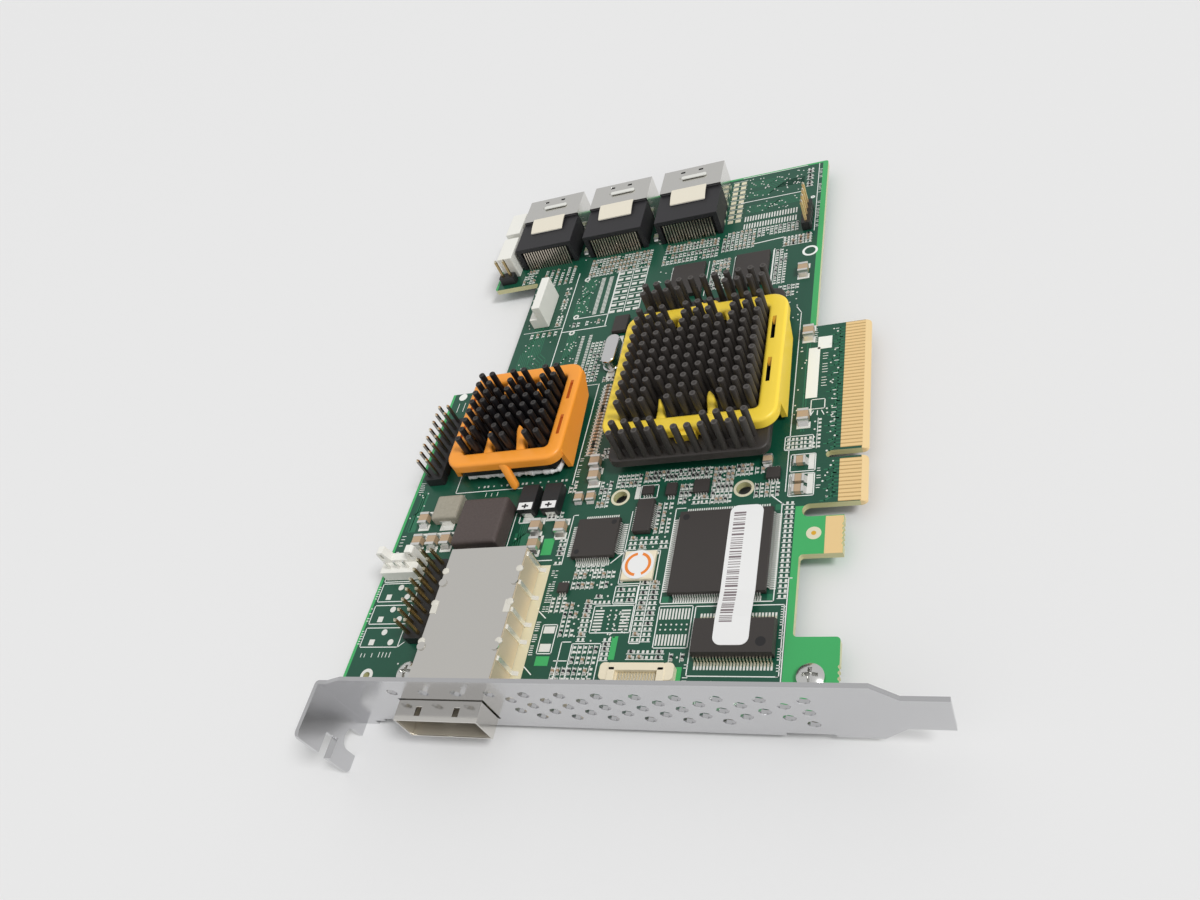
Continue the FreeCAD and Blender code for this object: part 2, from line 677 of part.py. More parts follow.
def clip(name, x, y, prong_at):
    """A moulded spring clip: a frame on the heatsink's plate, with skirts that hook under the chip."""
    side, long, bar, skirt = f"{name}_clip_wide", f"{name}_clip_long", f"{name}_bar", f"{name}_skirt"
    ring = body(f"{name}_clip")
    frame = sketch(ring, "XY_Plane", "plate_top")
    block(frame, "0", "0", side, long)
    block(frame, "0", "0", f"{side} - 2 * {bar}", f"{long} - 2 * {bar}")
    pad(ring, frame, "clip_top - plate_top")
    corners = [(a * at(side) / 2, b * at(long) / 2) for a in (-1, 1) for b in (-1, 1)]
    dress(ring, "Fillet", upright(corners), Radius=f"{bar} * 0.8")
    prongs = sketch(ring, "XY_Plane", "plate_top")
    for side_y in ("-", "+"):
        for side_x in ("-", "+"):
            block(prongs, f"0 {side_x} {prong_at}", f"0 {side_y} ({long} / 2 - {bar} - {name}_prong_long / 2 + 0.5)",
                  "prong_wide", f"{name}_prong_long + 1")
    pad(ring, prongs, "clip_top - plate_top - 0.4")
    slots = sketch(ring, "XY_Plane", "clip_top")
    for side_x in ("-", "+"):
        for side_y in ("-", "+"):
            block(slots, f"0 {side_x} ({side} / 2 - {bar} / 2)", f"0 {side_y} slot_at", "slot_wide", "slot_long")
    pocket(ring, slots, "clip_top - plate_top")
    for sign in ("-", "+"):
        lift = f"{side} / 2 - skirt_thick" if sign == "+" else f"0 - {side} / 2 - skirt_out"
        wall = sketch(ring, "YZ_Plane", lift)
        near, far = f"0 - {skirt} / 2", f"{skirt} / 2"
        outline(wall, [(near, "skirt_foot"), (f"{far} - skirt_slant", "skirt_foot"), (far, "clip_top - 1"),
                       (far, "clip_top"), (f"{near} + 1", "clip_top"), (near, "clip_top - 1")])
        pad(ring, wall, "skirt_thick + skirt_out")
        hook = sketch(ring, "XY_Plane", "skirt_foot")
        inner, outer = f"({name}_chip / 2 + hook_gap)", f"({side} / 2 - skirt_thick / 2)"
        block(hook, f"0 {sign} ({inner} + {outer}) / 2", "0 - skirt_slant / 2", f"{outer} - {inner}", f"{skirt} * 0.5")
        pad(ring, hook, "0.7")
    keep(put(ring, x, y), f"{name}_clip")
    return ring


def cooled_chips():
    bars = [(0, -6, 12, 1), (0, 6, 12, 1)]
    prongs = [(a * 2, b * 4.5, 1, 2) for a in (-1, 1) for b in (-1, 1)]
    heatsink("big", "big_x", "big_y", "big_chip", "big_plate_wide", "big_plate_long", 11, 17, "pin_step_long",
             "big_pin_top", bars + prongs + [(0, -7, 3, 1), (0, 7, 3, 1)])
    big = clip("big", "big_x", "big_y", "2 * pin_step")
    lugs = sketch(big, "XY_Plane", "plate_top")
    for side in ("-", "+"):
        block(lugs, "0", f"0 {side} (big_clip_long / 2 + 0.9)", "3 * pin_step - 2 * pin_r - 1.1", "2")
    pad(big, lugs, "clip_top - plate_top - 0.8")

    corners = [(a * 1.5, b * 3, 1, 2) for a in (-1, 1) for b in (-1, 1)]
    heatsink("small", "small_x", "small_y", "small_chip", "small_plate_wide", "small_plate_long", 8, 8, "pin_step",
             "small_pin_top", corners)
    small = clip("small", "small_x", "small_y", "1.5 * pin_step")
    for sign in ("-", "+"):
        lift = "small_clip_long / 2" if sign == "-" else "0 - small_clip_long / 2"
        arm = sketch(small, "XZ_Plane", lift)
        outline(arm, [("0 - 1.5", "clip_top"), ("arm_lean - 1.5", "skirt_foot"), ("arm_lean + 0.4", "skirt_foot"),
                      ("0.4", "clip_top")])
        pad(small, arm, "arm_thick", Reversed=sign == "+")


def moulded(name, x, y, wide, long, bottom, tall, edge=0.2):
    """A moulded block with its upper rim chamfered."""
    b = body(name)
    block(flat := sketch(b, "XY_Plane", bottom), "0", "0", wide, long)
    pad(b, flat, f"{tall} - ({bottom})")
    doc.recompute()
    dress(b, "Chamfer", level(b.Shape.BoundBox.ZMax), Size=edge)
    return keep(put(b, x, y), name)


def packages():
    flat = "flat_pack_tall"
    moulded("big_flat_pack", "big_flat_pack_x", "big_flat_pack_y", "big_flat_pack", "big_flat_pack", "lead_stand", flat)
    moulded("small_flat_pack", "small_flat_pack_x", "small_flat_pack_y", "small_flat_pack", "small_flat_pack",
            "lead_stand", flat)
    moulded("outline_pack", "outline_pack_x", "outline_pack_y", "outline_pack_long", "outline_pack_wide",
            "lead_stand", "outline_pack_tall", 0.3)
    moulded("narrow_pack", "64.5", "45.4", "3.8", "8.6", "lead_stand", "1.6")
    moulded("labelled_chip", "65.4", "32.9", "7", "7", "lead_stand", "1")
    for k in range(2):
        moulded(f"memory_chip_{k + 1}", f"ram_x + {k} * ram_step", "ram_y", "ram_wide", "ram_long", "0", "ram_tall", 0.1)
    moulded("big_inductor", "25.5", "44.4", "11.8", "12.6", "0", "5", 0.5)
    moulded("small_inductor", "13.5", "50.6", "7", "6.8", "0", "3", 0.4)

    spots = {  # x, y, width, length and height of the small packages
        "small_regulators": [(76.4, 52.7, 3.4, 3.4, 0.9), (64.1, 52.6, 2.6, 2.2, 0.9), (69.6, 52.4, 2.3, 3.1, 1.0),
                             (49.1, 28.1, 2.2, 2.2, 1.0), (91.9, 54.7, 2.9, 2.8, 1.0)],
        "tantalum_capacitors": [(35.3, 51.4, 4.3, 7.3, 2.9), (41.3, 51.4, 4.3, 7.3, 2.9)],
        "ceramic_capacitors": [(x, y, 2.6, 3.3, 1.9) for x, y in
                               ((7.3, 42.1), (11.3, 42.1), (15.2, 42.1), (6.8, 48.6), (38.4, 44.5), (39.1, 39.5),
                                (44.8, 43.8), (49.4, 62.0), (50.0, 57.8), (94.3, 119.6), (97.0, 96.2), (97.3, 69.6))]
        + [(x, y, 2.0, 2.6, 1.3) for x, y in ((47.3, 52.0), (50.3, 52.0), (97.3, 57.4), (97.3, 52.6), (97.3, 49.9))],
        "status_lights": [(x, y, 1.5, 2.2, 0.9) for x in (28.4, 50.5) for y in (145.5, 150, 154.5, 159)],
    }
    for label, boxes in spots.items():
        group(label, [Part.makeBox(a, b, c, Vector(x - a / 2, y - b / 2, 0)) for x, y, a, b, c in boxes])

    can = body("crystal_can")
    block(flat := sketch(can), "0", "0", "4.6", "11")
    pad(can, flat, "3.9")
    dress(can, "Chamfer", upright([(a * 2.3, b * 5.5) for a in (-1, 1) for b in (-1, 1)]), Size="1.2")
    doc.recompute()
    dress(can, "Chamfer", level(3.9), Size="0.4")
    keep(put(can, "46.8", "97.7"), "crystal_can")


def labels():
    """A long paper label over two packages of different height, and a round one on a small chip."""
    strip = body("long_label")
    low, high = "flat_pack_tall", "outline_pack_tall"
    edge_far = "outline_pack_y + outline_pack_wide / 2"
    pack_near = "big_flat_pack_y - big_flat_pack / 2"
    side = sketch(strip, "YZ_Plane", "0 - label_wide / 2")
    thick = "label_thick"
    outline(side, [("13.4", high), (edge_far, high), (pack_near, low), ("46.0", low), ("46.0", f"{low} + {thick}"),
                   (pack_near, f"{low} + {thick}"), (edge_far, f"{high} + {thick}"), ("13.4", f"{high} + {thick}")])
    pad(strip, side, "label_wide")
    keep(put(strip, "87.5"), "long_label")

    spot = body("round_label")
    pad(spot, outline(sketch(spot, "XY_Plane", "1"), polygon("0", "0", "3.45", 32)), thick)
    keep(put(spot, "65.4", "32.9"), "round_label")


def header(name, x, y, across, along, tip):
    """A pin header: a notched base with square posts."""
    base = body(f"{name}_base")
    half, notch = f"{across} / 2 * pitch", "0.35"
    right = []
    for k in range(along):
        low, high = f"({k} - {along / 2}) * pitch", f"({k + 1} - {along / 2}) * pitch"
        right += [(f"{half} - {notch}", low), (half, f"{low} + {notch}"), (half, f"{high} - {notch}")]
    right.append((f"{half} - {notch}", f"{along / 2} * pitch"))
    left = [(f"0 - ({a})", b) for a, b in reversed(right)]
    pad(base, outline(sketch(base), right + left), "header_tall")
    keep(put(base, str(x), str(y)), f"{name}_base")
    wide, pitch, top = at("post_wide"), at("pitch"), tip
    posts = [Part.makeBox(wide, wide, top - at("header_tall"),
                          Vector(x + (i - (across - 1) / 2) * pitch - wide / 2,
                                 y + (k - (along - 1) / 2) * pitch - wide / 2, at("header_tall")))
             for i in range(across) for k in range(along)]
    group(f"{name}_posts", posts)
    return [(x + (i - (across - 1) / 2) * pitch, y + (k - (along - 1) / 2) * pitch)
            for i in range(across) for k in range(along)]


def lock_connector(name, x, y, turn, kind, ways):
    """A wire connector: a low base with a back wall, which has ears or is plain, or a hood that opens sideways."""
    shell = body(name)
    long = "lock_long" if ways == 3 else "lock_long_four"
    half = f"{long} / 2"
    block(flat := sketch(shell), "0", "0", long, "lock_wide")
    pad(shell, flat, "lock_tall" if kind == "hood" else "lock_base")
    if kind == "hood":
        mouth = sketch(shell, "XZ_Plane", "lock_wide / 2")
        low = "hood_roof"
        block(mouth, "0", f"({low} + lock_tall - hood_roof) / 2", f"{long} - 2 * hood_side", f"lock_tall - hood_roof - {low}")
        pocket(shell, mouth, "hood_deep")
    back = sketch(shell, "XZ_Plane", "0 - lock_wide / 2")
    if kind == "ears":
        outline(back, [(f"0 - {half}", "0.5"), (half, "0.5"), (half, "lock_tall - 0.5"), (f"{half} - 0.5", "lock_tall"),
                       (f"{half} - lock_ear", "lock_tall"), (f"{half} - lock_ear - 0.8", "lock_base + 1"),
                       (f"0 - {half} + lock_ear + 0.8", "lock_base + 1"), (f"0 - {half} + lock_ear", "lock_tall"),
                       (f"0 - {half} + 0.5", "lock_tall"), (f"0 - {half}", "lock_tall - 0.5")])
        pad(shell, back, "lock_wide * 0.42")
        slots = sketch(shell, "XZ_Plane")
        for side in ("-", "+"):
            block(slots, f"0 {side} ({half} - lock_ear / 2)", "lock_tall - 1.7", "0.6", "1.6")
        pocket(shell, slots)
    if kind == "wall":
        block(back, "0", "lock_tall / 2", long, "lock_tall")
        pad(shell, back, "lock_wall")
    put(shell, str(x), str(y))
    shell.Placement.Rotation = FreeCAD.Rotation(Vector(0, 0, 1), turn)
    keep(shell, name)
    place = FreeCAD.Placement(Vector(x, y, 0), FreeCAD.Rotation(Vector(0, 0, 1), turn))

    wide, spots, posts = at("post_wide") * 0.8, [], []
    front = -at("lock_wide") / 2
    for i in range(ways):
        along = (i - (ways - 1) / 2) * at("pitch")
        if kind == "hood":
            corner = Vector(along - wide / 2, front + 0.6, at("lock_tall") / 2)
            post = Part.makeBox(wide, at("hood_deep") - 0.6, wide, corner)
        else:
            post = Part.makeBox(wide, wide, 2.6, Vector(along - wide / 2, -1.1 - wide / 2, at("lock_base")))
        post.Placement = place * post.Placement
        posts.append(post)
        spots.append(place.multVec(Vector(along, -1.1, 0)))
    return spots, posts


def connectors():
    solder = []
    solder += header("left_header", 5.9, 69.8, 2, 8, 9.0)
    solder += header("near_header", 16.6, 25.5, 2, 8, 8.6)
    solder += header("jumper_header", 4.4, 137.6, 2, 1, 8.5)
    solder += header("edge_header", 94.2, 141.4, 1, 4, 8.8)
    spots = [("lock_connector_1", 6.8, 34.3, 0, "ears", 3), ("lock_connector_2", 21.2, 120.4, -90, "wall", 4),
             ("lock_connector_3", 5.0, 144.4, -90, "hood", 3), ("lock_connector_4", 4.6, 156.4, -90, "hood", 3)]
    posts = []
    for spot in spots:
        feet, pins = lock_connector(*spot)
        solder += [(foot.x, foot.y) for foot in feet]
        posts += pins
    group("lock_posts", posts)

    drops = []
    foot, tip, tall = 0.7, 0.25, at("solder_tall")
    for x, y in solder:
        drop = Part.makeWedge(-foot, 0, -foot, -tip, -tip, foot, tall, foot, tip, tip)
        drop.Placement = FreeCAD.Placement(Vector(x, y, -at("board_thick")), FreeCAD.Rotation(Vector(1, 0, 0), -90))
        drops.append(drop)
    group("solder_tails", drops)

    socket = body("cable_socket")
    block(flat := sketch(socket), "0", "0", "15.1", "5.2")
    pad(socket, flat, "1.9")
    block(room := sketch(socket, "XY_Plane", "1.9"), "0 - 1", "0 - 0.6", "8.6", "3")
    pocket(socket, room, "1.1")
    keep(put(socket, "69.6", "7.7"), "cable_socket")


def check():
    doc.recompute()
    faults = [o.Name for o in doc.Objects if "Invalid" in o.State or "Error" in o.State]
    for part in parts:
        if part.Shape.isNull() or not part.Shape.isValid() or not part.Shape.Solids:
            faults.append(part.Label)
    if faults:
        print("failed:", ", ".join(faults))
        sys.exit(1)


def save():
    os.makedirs("parts", exist_ok=True)
    for part in parts:
        part.Shape.exportStep(f"parts/{part.Label}.step")
        box = part.Shape.BoundBox
        print(f"{part.Label}: {len(part.Shape.Solids)} solids, {box.XMin:.1f}..{box.XMax:.1f}, "
              f"{box.YMin:.1f}..{box.YMax:.1f}, {box.ZMin:.1f}..{box.ZMax:.1f}, {part.Shape.Volume:.1f} mm3")


board()
bracket()
bracket_screws()
external_port()
internal_ports()
cooled_chips()
packages()
labels()
connectors()
check()
save()
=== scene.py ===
from math import cos, pi, radians, sin, tau

import bmesh
import bpy
import numpy as np
from mathutils import Matrix, Vector


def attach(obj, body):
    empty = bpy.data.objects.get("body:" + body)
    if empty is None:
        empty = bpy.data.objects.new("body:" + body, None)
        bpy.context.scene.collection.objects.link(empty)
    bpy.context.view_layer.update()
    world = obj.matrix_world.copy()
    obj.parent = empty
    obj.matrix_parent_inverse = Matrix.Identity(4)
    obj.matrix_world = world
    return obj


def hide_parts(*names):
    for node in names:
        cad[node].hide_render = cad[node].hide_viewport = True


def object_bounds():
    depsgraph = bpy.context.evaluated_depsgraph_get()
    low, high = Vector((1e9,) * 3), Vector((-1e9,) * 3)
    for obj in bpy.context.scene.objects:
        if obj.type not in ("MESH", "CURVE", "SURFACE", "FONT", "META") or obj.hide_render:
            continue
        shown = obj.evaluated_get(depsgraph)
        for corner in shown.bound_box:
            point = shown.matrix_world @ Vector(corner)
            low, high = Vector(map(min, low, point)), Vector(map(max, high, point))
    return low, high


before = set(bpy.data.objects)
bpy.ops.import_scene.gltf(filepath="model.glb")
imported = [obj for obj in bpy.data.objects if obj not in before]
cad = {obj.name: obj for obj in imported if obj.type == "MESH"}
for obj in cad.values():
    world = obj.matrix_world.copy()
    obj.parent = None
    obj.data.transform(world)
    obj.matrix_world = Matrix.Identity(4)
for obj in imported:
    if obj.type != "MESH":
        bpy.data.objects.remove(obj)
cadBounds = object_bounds()
rng = np.random.default_rng(7)
mm = 0.001


# meshes: vertices in millimetres as (n, 3) arrays, faces as lists of index lists


class Shape:
    # Vertices, faces and each face's paint number, gathered before one mesh is made of them.

    def __init__(self):
        self.points, self.faces, self.paints, self.count = [], [], [], 0

    def repeat(self, points, faces, places, paint=0):
        # The same small mesh at many places, (n, 3): one block of vertices and shifted face indices.
        points, places = (np.asarray(values, float).reshape(-1, 3) for values in (points, places))
        self.points.append((places[:, None] + points).reshape(-1, 3))
        for k in range(len(places)):
            shift = self.count + k * len(points)
            self.faces.extend([[i + shift for i in face] for face in faces])
        self.paints.extend([paint] * (len(faces) * len(places)))
        self.count += len(points) * len(places)

    def add(self, points, faces, paint=0):
        self.repeat(points, faces, (0, 0, 0), paint)


def level(outline, z):
    # An outline of (x, y) points at one height.
    return np.column_stack([outline, np.full(len(outline), z)])


def tube(rings, closed=False):
    # Rings of as many points each, joined in turn; the ends are capped, or the last ring meets the first when closed.
    rings = np.asarray(rings, float)
    n, m = rings.shape[:2]
    faces = [] if closed else [list(range(m))[::-1], [(n - 1) * m + i for i in range(m)]]
    for k in range(n if closed else n - 1):
        a, b = k * m, (k + 1) % n * m
        faces += [[a + i, a + (i + 1) % m, b + (i + 1) % m, b + i] for i in range(m)]
    return rings.reshape(-1, 3), faces


def prism(outline, low, high):
    # A closed prism over a counter-clockwise outline of (x, y) points.
    return tube([level(outline, low), level(outline, high)])


def box(x, y, z, wide, long, tall):
    # A box round x, y whose underside is at z.
    a, b = wide / 2, long / 2
    return prism(rect(x - a, y - b, x + a, y + b), z, z + tall)


def ring(radius, count, x=0.0, y=0.0):
    # Points on a circle, counter-clockwise.
    t = np.arange(count) / count * tau
    return np.column_stack([x + radius * np.cos(t), y + radius * np.sin(t)])


def lathe(profile, count, x=0.0, y=0.0):
    # A solid turned about a vertical line: profile runs from the bottom to the top as (radius, z), both ends closed.
    return tube([level(ring(r, count, x, y), z) for r, z in profile])


def sweep(profile, across, axis="x"):
    # A closed (a, z) profile pushed along an axis from across[0] to across[1]; its area's sign turns the faces.
    a, z = np.asarray(profile, float).T
    ends = [np.full(len(a), w) for w in across]
    points, faces = tube([np.column_stack([w, a, z] if axis == "x" else [a, w, z]) for w in ends])
    area = np.sum(a * np.roll(z, -1) - z * np.roll(a, -1))
    if (area > 0) != (axis == "x"):
        faces = [face[::-1] for face in faces]
    return points, faces


def soft(outline, radius, count=4):
    # Rounds an outline's corners: each corner becomes an arc of count + 1 points tangent to both sides.
    points = np.asarray(outline, float)
    n, made = len(points), []
    for i, p in enumerate(points):
        before, after = points[i - 1] - p, points[(i + 1) % n] - p
        a, b = before / np.linalg.norm(before), after / np.linalg.norm(after)
        half = np.arccos(np.clip(a @ b, -1, 1)) / 2
        reach = min(radius / np.tan(half), np.linalg.norm(before) * 0.49, np.linalg.norm(after) * 0.49)
        r = reach * np.tan(half)
        centre = p + (a + b) / np.linalg.norm(a + b) * (r / np.sin(half))
        start, end = p + a * reach - centre, p + b * reach - centre
        s0 = np.arctan2(start[1], start[0])
        turn = (np.arctan2(end[1], end[0]) - s0 + pi) % tau - pi
        t = s0 + turn * np.linspace(0, 1, count + 1)
        made.append(centre + r * np.column_stack([np.cos(t), np.sin(t)]))
    return np.vstack(made)


def rect(x0, y0, x1, y1):
    # The four corners of a rectangle, counter-clockwise.
    return [(x0, y0), (x1, y0), (x1, y1), (x0, y1)]


# materials


def material(name, colour, rough=0.5, metal=0.0, spec=0.5):
    # One even finish.
    made = bpy.data.materials.new(name)
    made.use_nodes = True
    shader = made.node_tree.nodes["Principled BSDF"]
    values = {"Base Color": (*colour, 1), "Roughness": rough, "Metallic": metal, "Specular IOR Level": spec}
    for key, value in values.items():
        shader.inputs[key].default_value = value
    return made


def wire(made):
    # The material's node tree, a maker of nodes and its shader.
    tree = made.node_tree

    def node(kind, **values):
        fresh = tree.nodes.new(kind)
        for key, value in values.items():
            if hasattr(fresh, key):
                setattr(fresh, key, value)
            else:
                fresh.inputs[key].default_value = value
        return fresh

    return tree, node, tree.nodes["Principled BSDF"]


def grain(made, scale, height, tint=0.0, rough=0.0):
    # Fine relief: a noise in object space bumps the surface by a height in millimetres, and varies roughness or tone.
    tree, node, shader = wire(made)
    place = node("ShaderNodeTexCoord")
    noise = node("ShaderNodeTexNoise", Scale=scale, Detail=3.0)
    tree.links.new(place.outputs["Object"], noise.inputs["Vector"])
    if height:
        bump = node("ShaderNodeBump", Strength=1.0, Distance=height * mm)
        tree.links.new(noise.outputs["Fac"], bump.inputs["Height"])
        tree.links.new(bump.outputs["Normal"], shader.inputs["Normal"])
    if rough:
        base = shader.inputs["Roughness"].default_value
        span = node("ShaderNodeMapRange")
        span.inputs["To Min"].default_value = max(base - rough, 0.02)
        span.inputs["To Max"].default_value = base + rough
        tree.links.new(noise.outputs["Fac"], span.inputs["Value"])
        tree.links.new(span.outputs["Result"], shader.inputs["Roughness"])
    if tint:
        mix = node("ShaderNodeMix", data_type="RGBA", blend_type="MULTIPLY")
        mix.inputs["A"].default_value = shader.inputs["Base Color"].default_value[:]
        mix.inputs["B"].default_value = (1 - tint, 1 - tint, 1 - tint, 1)
        tree.links.new(noise.outputs["Fac"], mix.inputs["Factor"])
        tree.links.new(mix.outputs["Result"], shader.inputs["Base Color"])


finishes = {  # colour, roughness, metal; where there is a grain, its scale, relief, tint and spread of roughness
    "mask": ((0.006, 0.105, 0.048), 0.3, 0.0), "bareMask": ((0.045, 0.42, 0.12), 0.34, 0.0),
    "trace": ((0.018, 0.160, 0.080), 0.3, 0.0), "silk": ((0.90, 0.92, 0.88), 0.5, 0.0),
    "tin": ((0.82, 0.81, 0.78), 0.28, 0.85), "gold": ((0.96, 0.69, 0.33), 0.3, 0.4),
    "paleGold": ((0.83, 0.78, 0.57), 0.3, 0.3), "steel": ((0.62, 0.62, 0.63), 0.2, 1.0, (900, 0, 0, 0.06)),
    "cage": ((0.74, 0.72, 0.68), 0.12, 1.0, (500, 0, 0, 0.04)),
    # the near-white and the pale warm cage paints below are painted highlights on the cage's straps and tabs and
    # painted light on its side walls
    "shell": ((0.74, 0.73, 0.70), 0.2, 1.0, (500, 0, 0, 0.05)), "cageHighlight": ((0.90, 0.87, 0.78), 0.25, 0.6),
    "litCageSide": ((0.78, 0.66, 0.48), 0.4, 0.4), "can": ((0.76, 0.76, 0.76), 0.2, 1.0),
    "black": ((0.016, 0.016, 0.017), 0.42, 0.0, (1500, 0.01)),
    "portBody": ((0.019, 0.018, 0.021), 0.5, 0.0, (1500, 0.01)),
    "chip": ((0.040, 0.034, 0.031), 0.5, 0.0, (2500, 0.012)),
    "anodised": ((0.036, 0.031, 0.028), 0.42, 0.0, (2500, 0.012)),
    # the pin tip paint below is a painted highlight on the large heatsink's pin tops
    "darkAnodised": ((0.006, 0.005, 0.006), 0.42, 0.0, (2500, 0.012)), "pinTopHighlight": ((0.075, 0.067, 0.062), 0.4, 0.0),
    "yellow": ((0.98, 0.71, 0.06), 0.34, 0.0, (700, 0.008)), "orange": ((1.0, 0.37, 0.04), 0.34, 0.0, (700, 0.008)),
    "ceramic": ((0.02, 0.055, 0.03), 0.45, 0.0), "ferrite": ((0.100, 0.076, 0.070), 0.62, 0.0, (1800, 0.03, 0.35)),
    "greyFerrite": ((0.42, 0.39, 0.31), 0.6, 0.0, (1800, 0.03, 0.3)), "tan": ((0.40, 0.28, 0.18), 0.42, 0.0),
    # the cream tongue paint below is a painted highlight on the ports' latch plates
    # the pale mouth paint below is painted light inside the port's mouth
    "mouthLight": ((0.56, 0.51, 0.42), 0.3, 0.5), "tongue": ((0.90, 0.84, 0.70), 0.3, 0.25),
    "resistor": ((0.018, 0.018, 0.02), 0.35, 0.0), "white": ((0.87, 0.86, 0.80), 0.36, 0.0),
    "cream": ((0.86, 0.77, 0.58), 0.4, 0.0), "paper": ((0.86, 0.86, 0.85), 0.5, 0.0),
    "orangeInk": ((0.85, 0.24, 0.03), 0.5, 0.0), "paste": ((0.80, 0.80, 0.79), 0.5, 0.0),
    "lamp": ((0.70, 0.78, 0.52), 0.25, 0.0), "screw": ((0.74, 0.74, 0.72), 0.2, 1.0),
    # the pale tin below is the tin of leads and socket tongues, and a painted highlight on the header posts' tips
    "contact": ((0.56, 0.50, 0.42), 0.26, 1.0), "paleTinAndPostHighlight": ((0.80, 0.74, 0.58), 0.25, 1.0),
    # the pad tin below is the pads' own tin, and a painted highlight on the ports' latch bars
    "padTinAndBarHighlight": ((0.86, 0.86, 0.81), 0.34, 0.3), "brass": ((0.42, 0.32, 0.16), 0.35, 1.0),
    # the near-black below colours the dots on the packages, and is painted shade on the large clip's slot walls and
    # floors
    "dotDarkAndSlotShade": ((0.012, 0.011, 0.012), 0.35, 0.0), "capTan": ((0.50, 0.36, 0.23), 0.42, 0.0),
    "lampBody": ((0.60, 0.66, 0.42), 0.3, 0.0), "fingerGap": ((0.52, 0.33, 0.13), 0.5, 0.0),
    "greyPost": ((0.30, 0.28, 0.26), 0.3, 1.0), "greyInk": ((0.20, 0.16, 0.17), 0.5, 0.0),
    # the darker orange and darker yellow below are painted shade in the clips' slots and ramps; the darker yellow also
    # colours the hook tab's target centre
    "orangeSlotShade": ((0.62, 0.15, 0.018), 0.5, 0.0), "targetYellowAndRampShade": ((0.70, 0.38, 0.02), 0.45, 0.0),
}
paint = {}
for key, (colour, rough, metal, *relief) in finishes.items():
    paint[key] = material(key, colour, rough, metal)
    if relief:
        grain(paint[key], *relief[0])


def softEdges(piece, width, segments):
    # A bevel along every edge sharper than 35 degrees.
    edge = piece.modifiers.new("edge", "BEVEL")
    edge.width, edge.segments, edge.limit_method, edge.angle_limit = width * mm, segments, "ANGLE", radians(35)
    return edge


def make(name, shape, paints, slotName, replaces=(), bevel=0.0, segments=2, smooth=False, outwards=False):
    # One object of the card from a gathered shape, riding on the root body.
    mesh = bpy.data.meshes.new(name)
    mesh.from_pydata((np.vstack(shape.points) * mm).tolist(), [], shape.faces)
    for key in paints:
        mesh.materials.append(paint[key])
    mesh.polygons.foreach_set("material_index", np.array(shape.paints, np.int32))
    if outwards:  # closed shells whose faces were listed in either turn
        loose = bmesh.new()
        loose.from_mesh(mesh)
        bmesh.ops.recalc_face_normals(loose, faces=loose.faces)
        loose.to_mesh(mesh)
        loose.free()
    if smooth:
        mesh.polygons.foreach_set("use_smooth", np.ones(len(mesh.polygons), bool))
        mesh.set_sharp_from_angle(angle=radians(35))
    mesh.update()
    piece = bpy.data.objects.new(name, mesh)
    bpy.context.scene.collection.objects.link(piece)
    if bevel:
        softEdges(piece, bevel, segments).harden_normals = smooth
    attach(piece, "root")
    if replaces:
        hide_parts(*replaces)


def finishNode(name, key, bevel):
    # Paints a CAD node and softens its edges: welds its faces together, joins flat ones, then bevels.
    node = cad[name]
    node.data.materials.clear()
    node.data.materials.append(paint[key])
    if bevel:
        node.modifiers.new("weld", "WELD").merge_threshold = 1e-6
        join = node.modifiers.new("join", "DECIMATE")
        join.decimate_type, join.angle_limit = "DISSOLVE", radians(0.5)
        softEdges(node, bevel, 2)


nodeFinishes = [  # nodes of the frame, paint, bevel in millimetres
    (["bracket"], "steel", 0.14), (["external_cage"], "cage", 0.05), (["external_core"], "black", 0.1),
    ([f"port_shell_{k}" for k in (1, 2, 3)], "shell", 0.05), ([f"port_body_{k}" for k in (1, 2, 3)], "portBody", 0.1),
    ([f"port_contacts_{k}" for k in (1, 2, 3)], "contact", 0), (["big_chip", "small_chip"], "ceramic", 0.1),
    (["narrow_pack", "memory_chip_1", "memory_chip_2"], "chip", 0.08), (["labelled_chip"], "cream", 0.06),
    (["big_inductor"], "ferrite", 0.35), (["small_inductor"], "greyFerrite", 0.3),
    (["left_header_base", "near_header_base", "jumper_header_base", "edge_header_base"], "black", 0.1),
    (["solder_tails", "lock_posts"], "tin", 0.05), ([f"lock_connector_{k}" for k in (1, 2, 3, 4)], "white", 0.2),
]
for names, key, width in nodeFinishes:
    for name in names:
        finishNode(name, key, width)
print("frame painted")

# the board: bare laminate edge, solder mask, copper under the mask, pads and print

boardFinish = {
    "mask": [(0.005, 0.060, 0.034, 1), (0.009, 0.098, 0.054, 1)], "cloudScale": 55.0,  # two tones of mask over copper
    "lightMask": (0.050, 0.42, 0.125, 1), "laminate": (0.58, 0.56, 0.30, 1), "platedTip": (0.84, 0.62, 0.31, 1),
    # where the copper ends at the right, near, far, left and far edges, and where the plated tip starts
    "right": 97.0, "near": 46.0, "far": 99.2, "left": 0.75, "farEdge": 166.1, "tipFrom": 109.75,
}


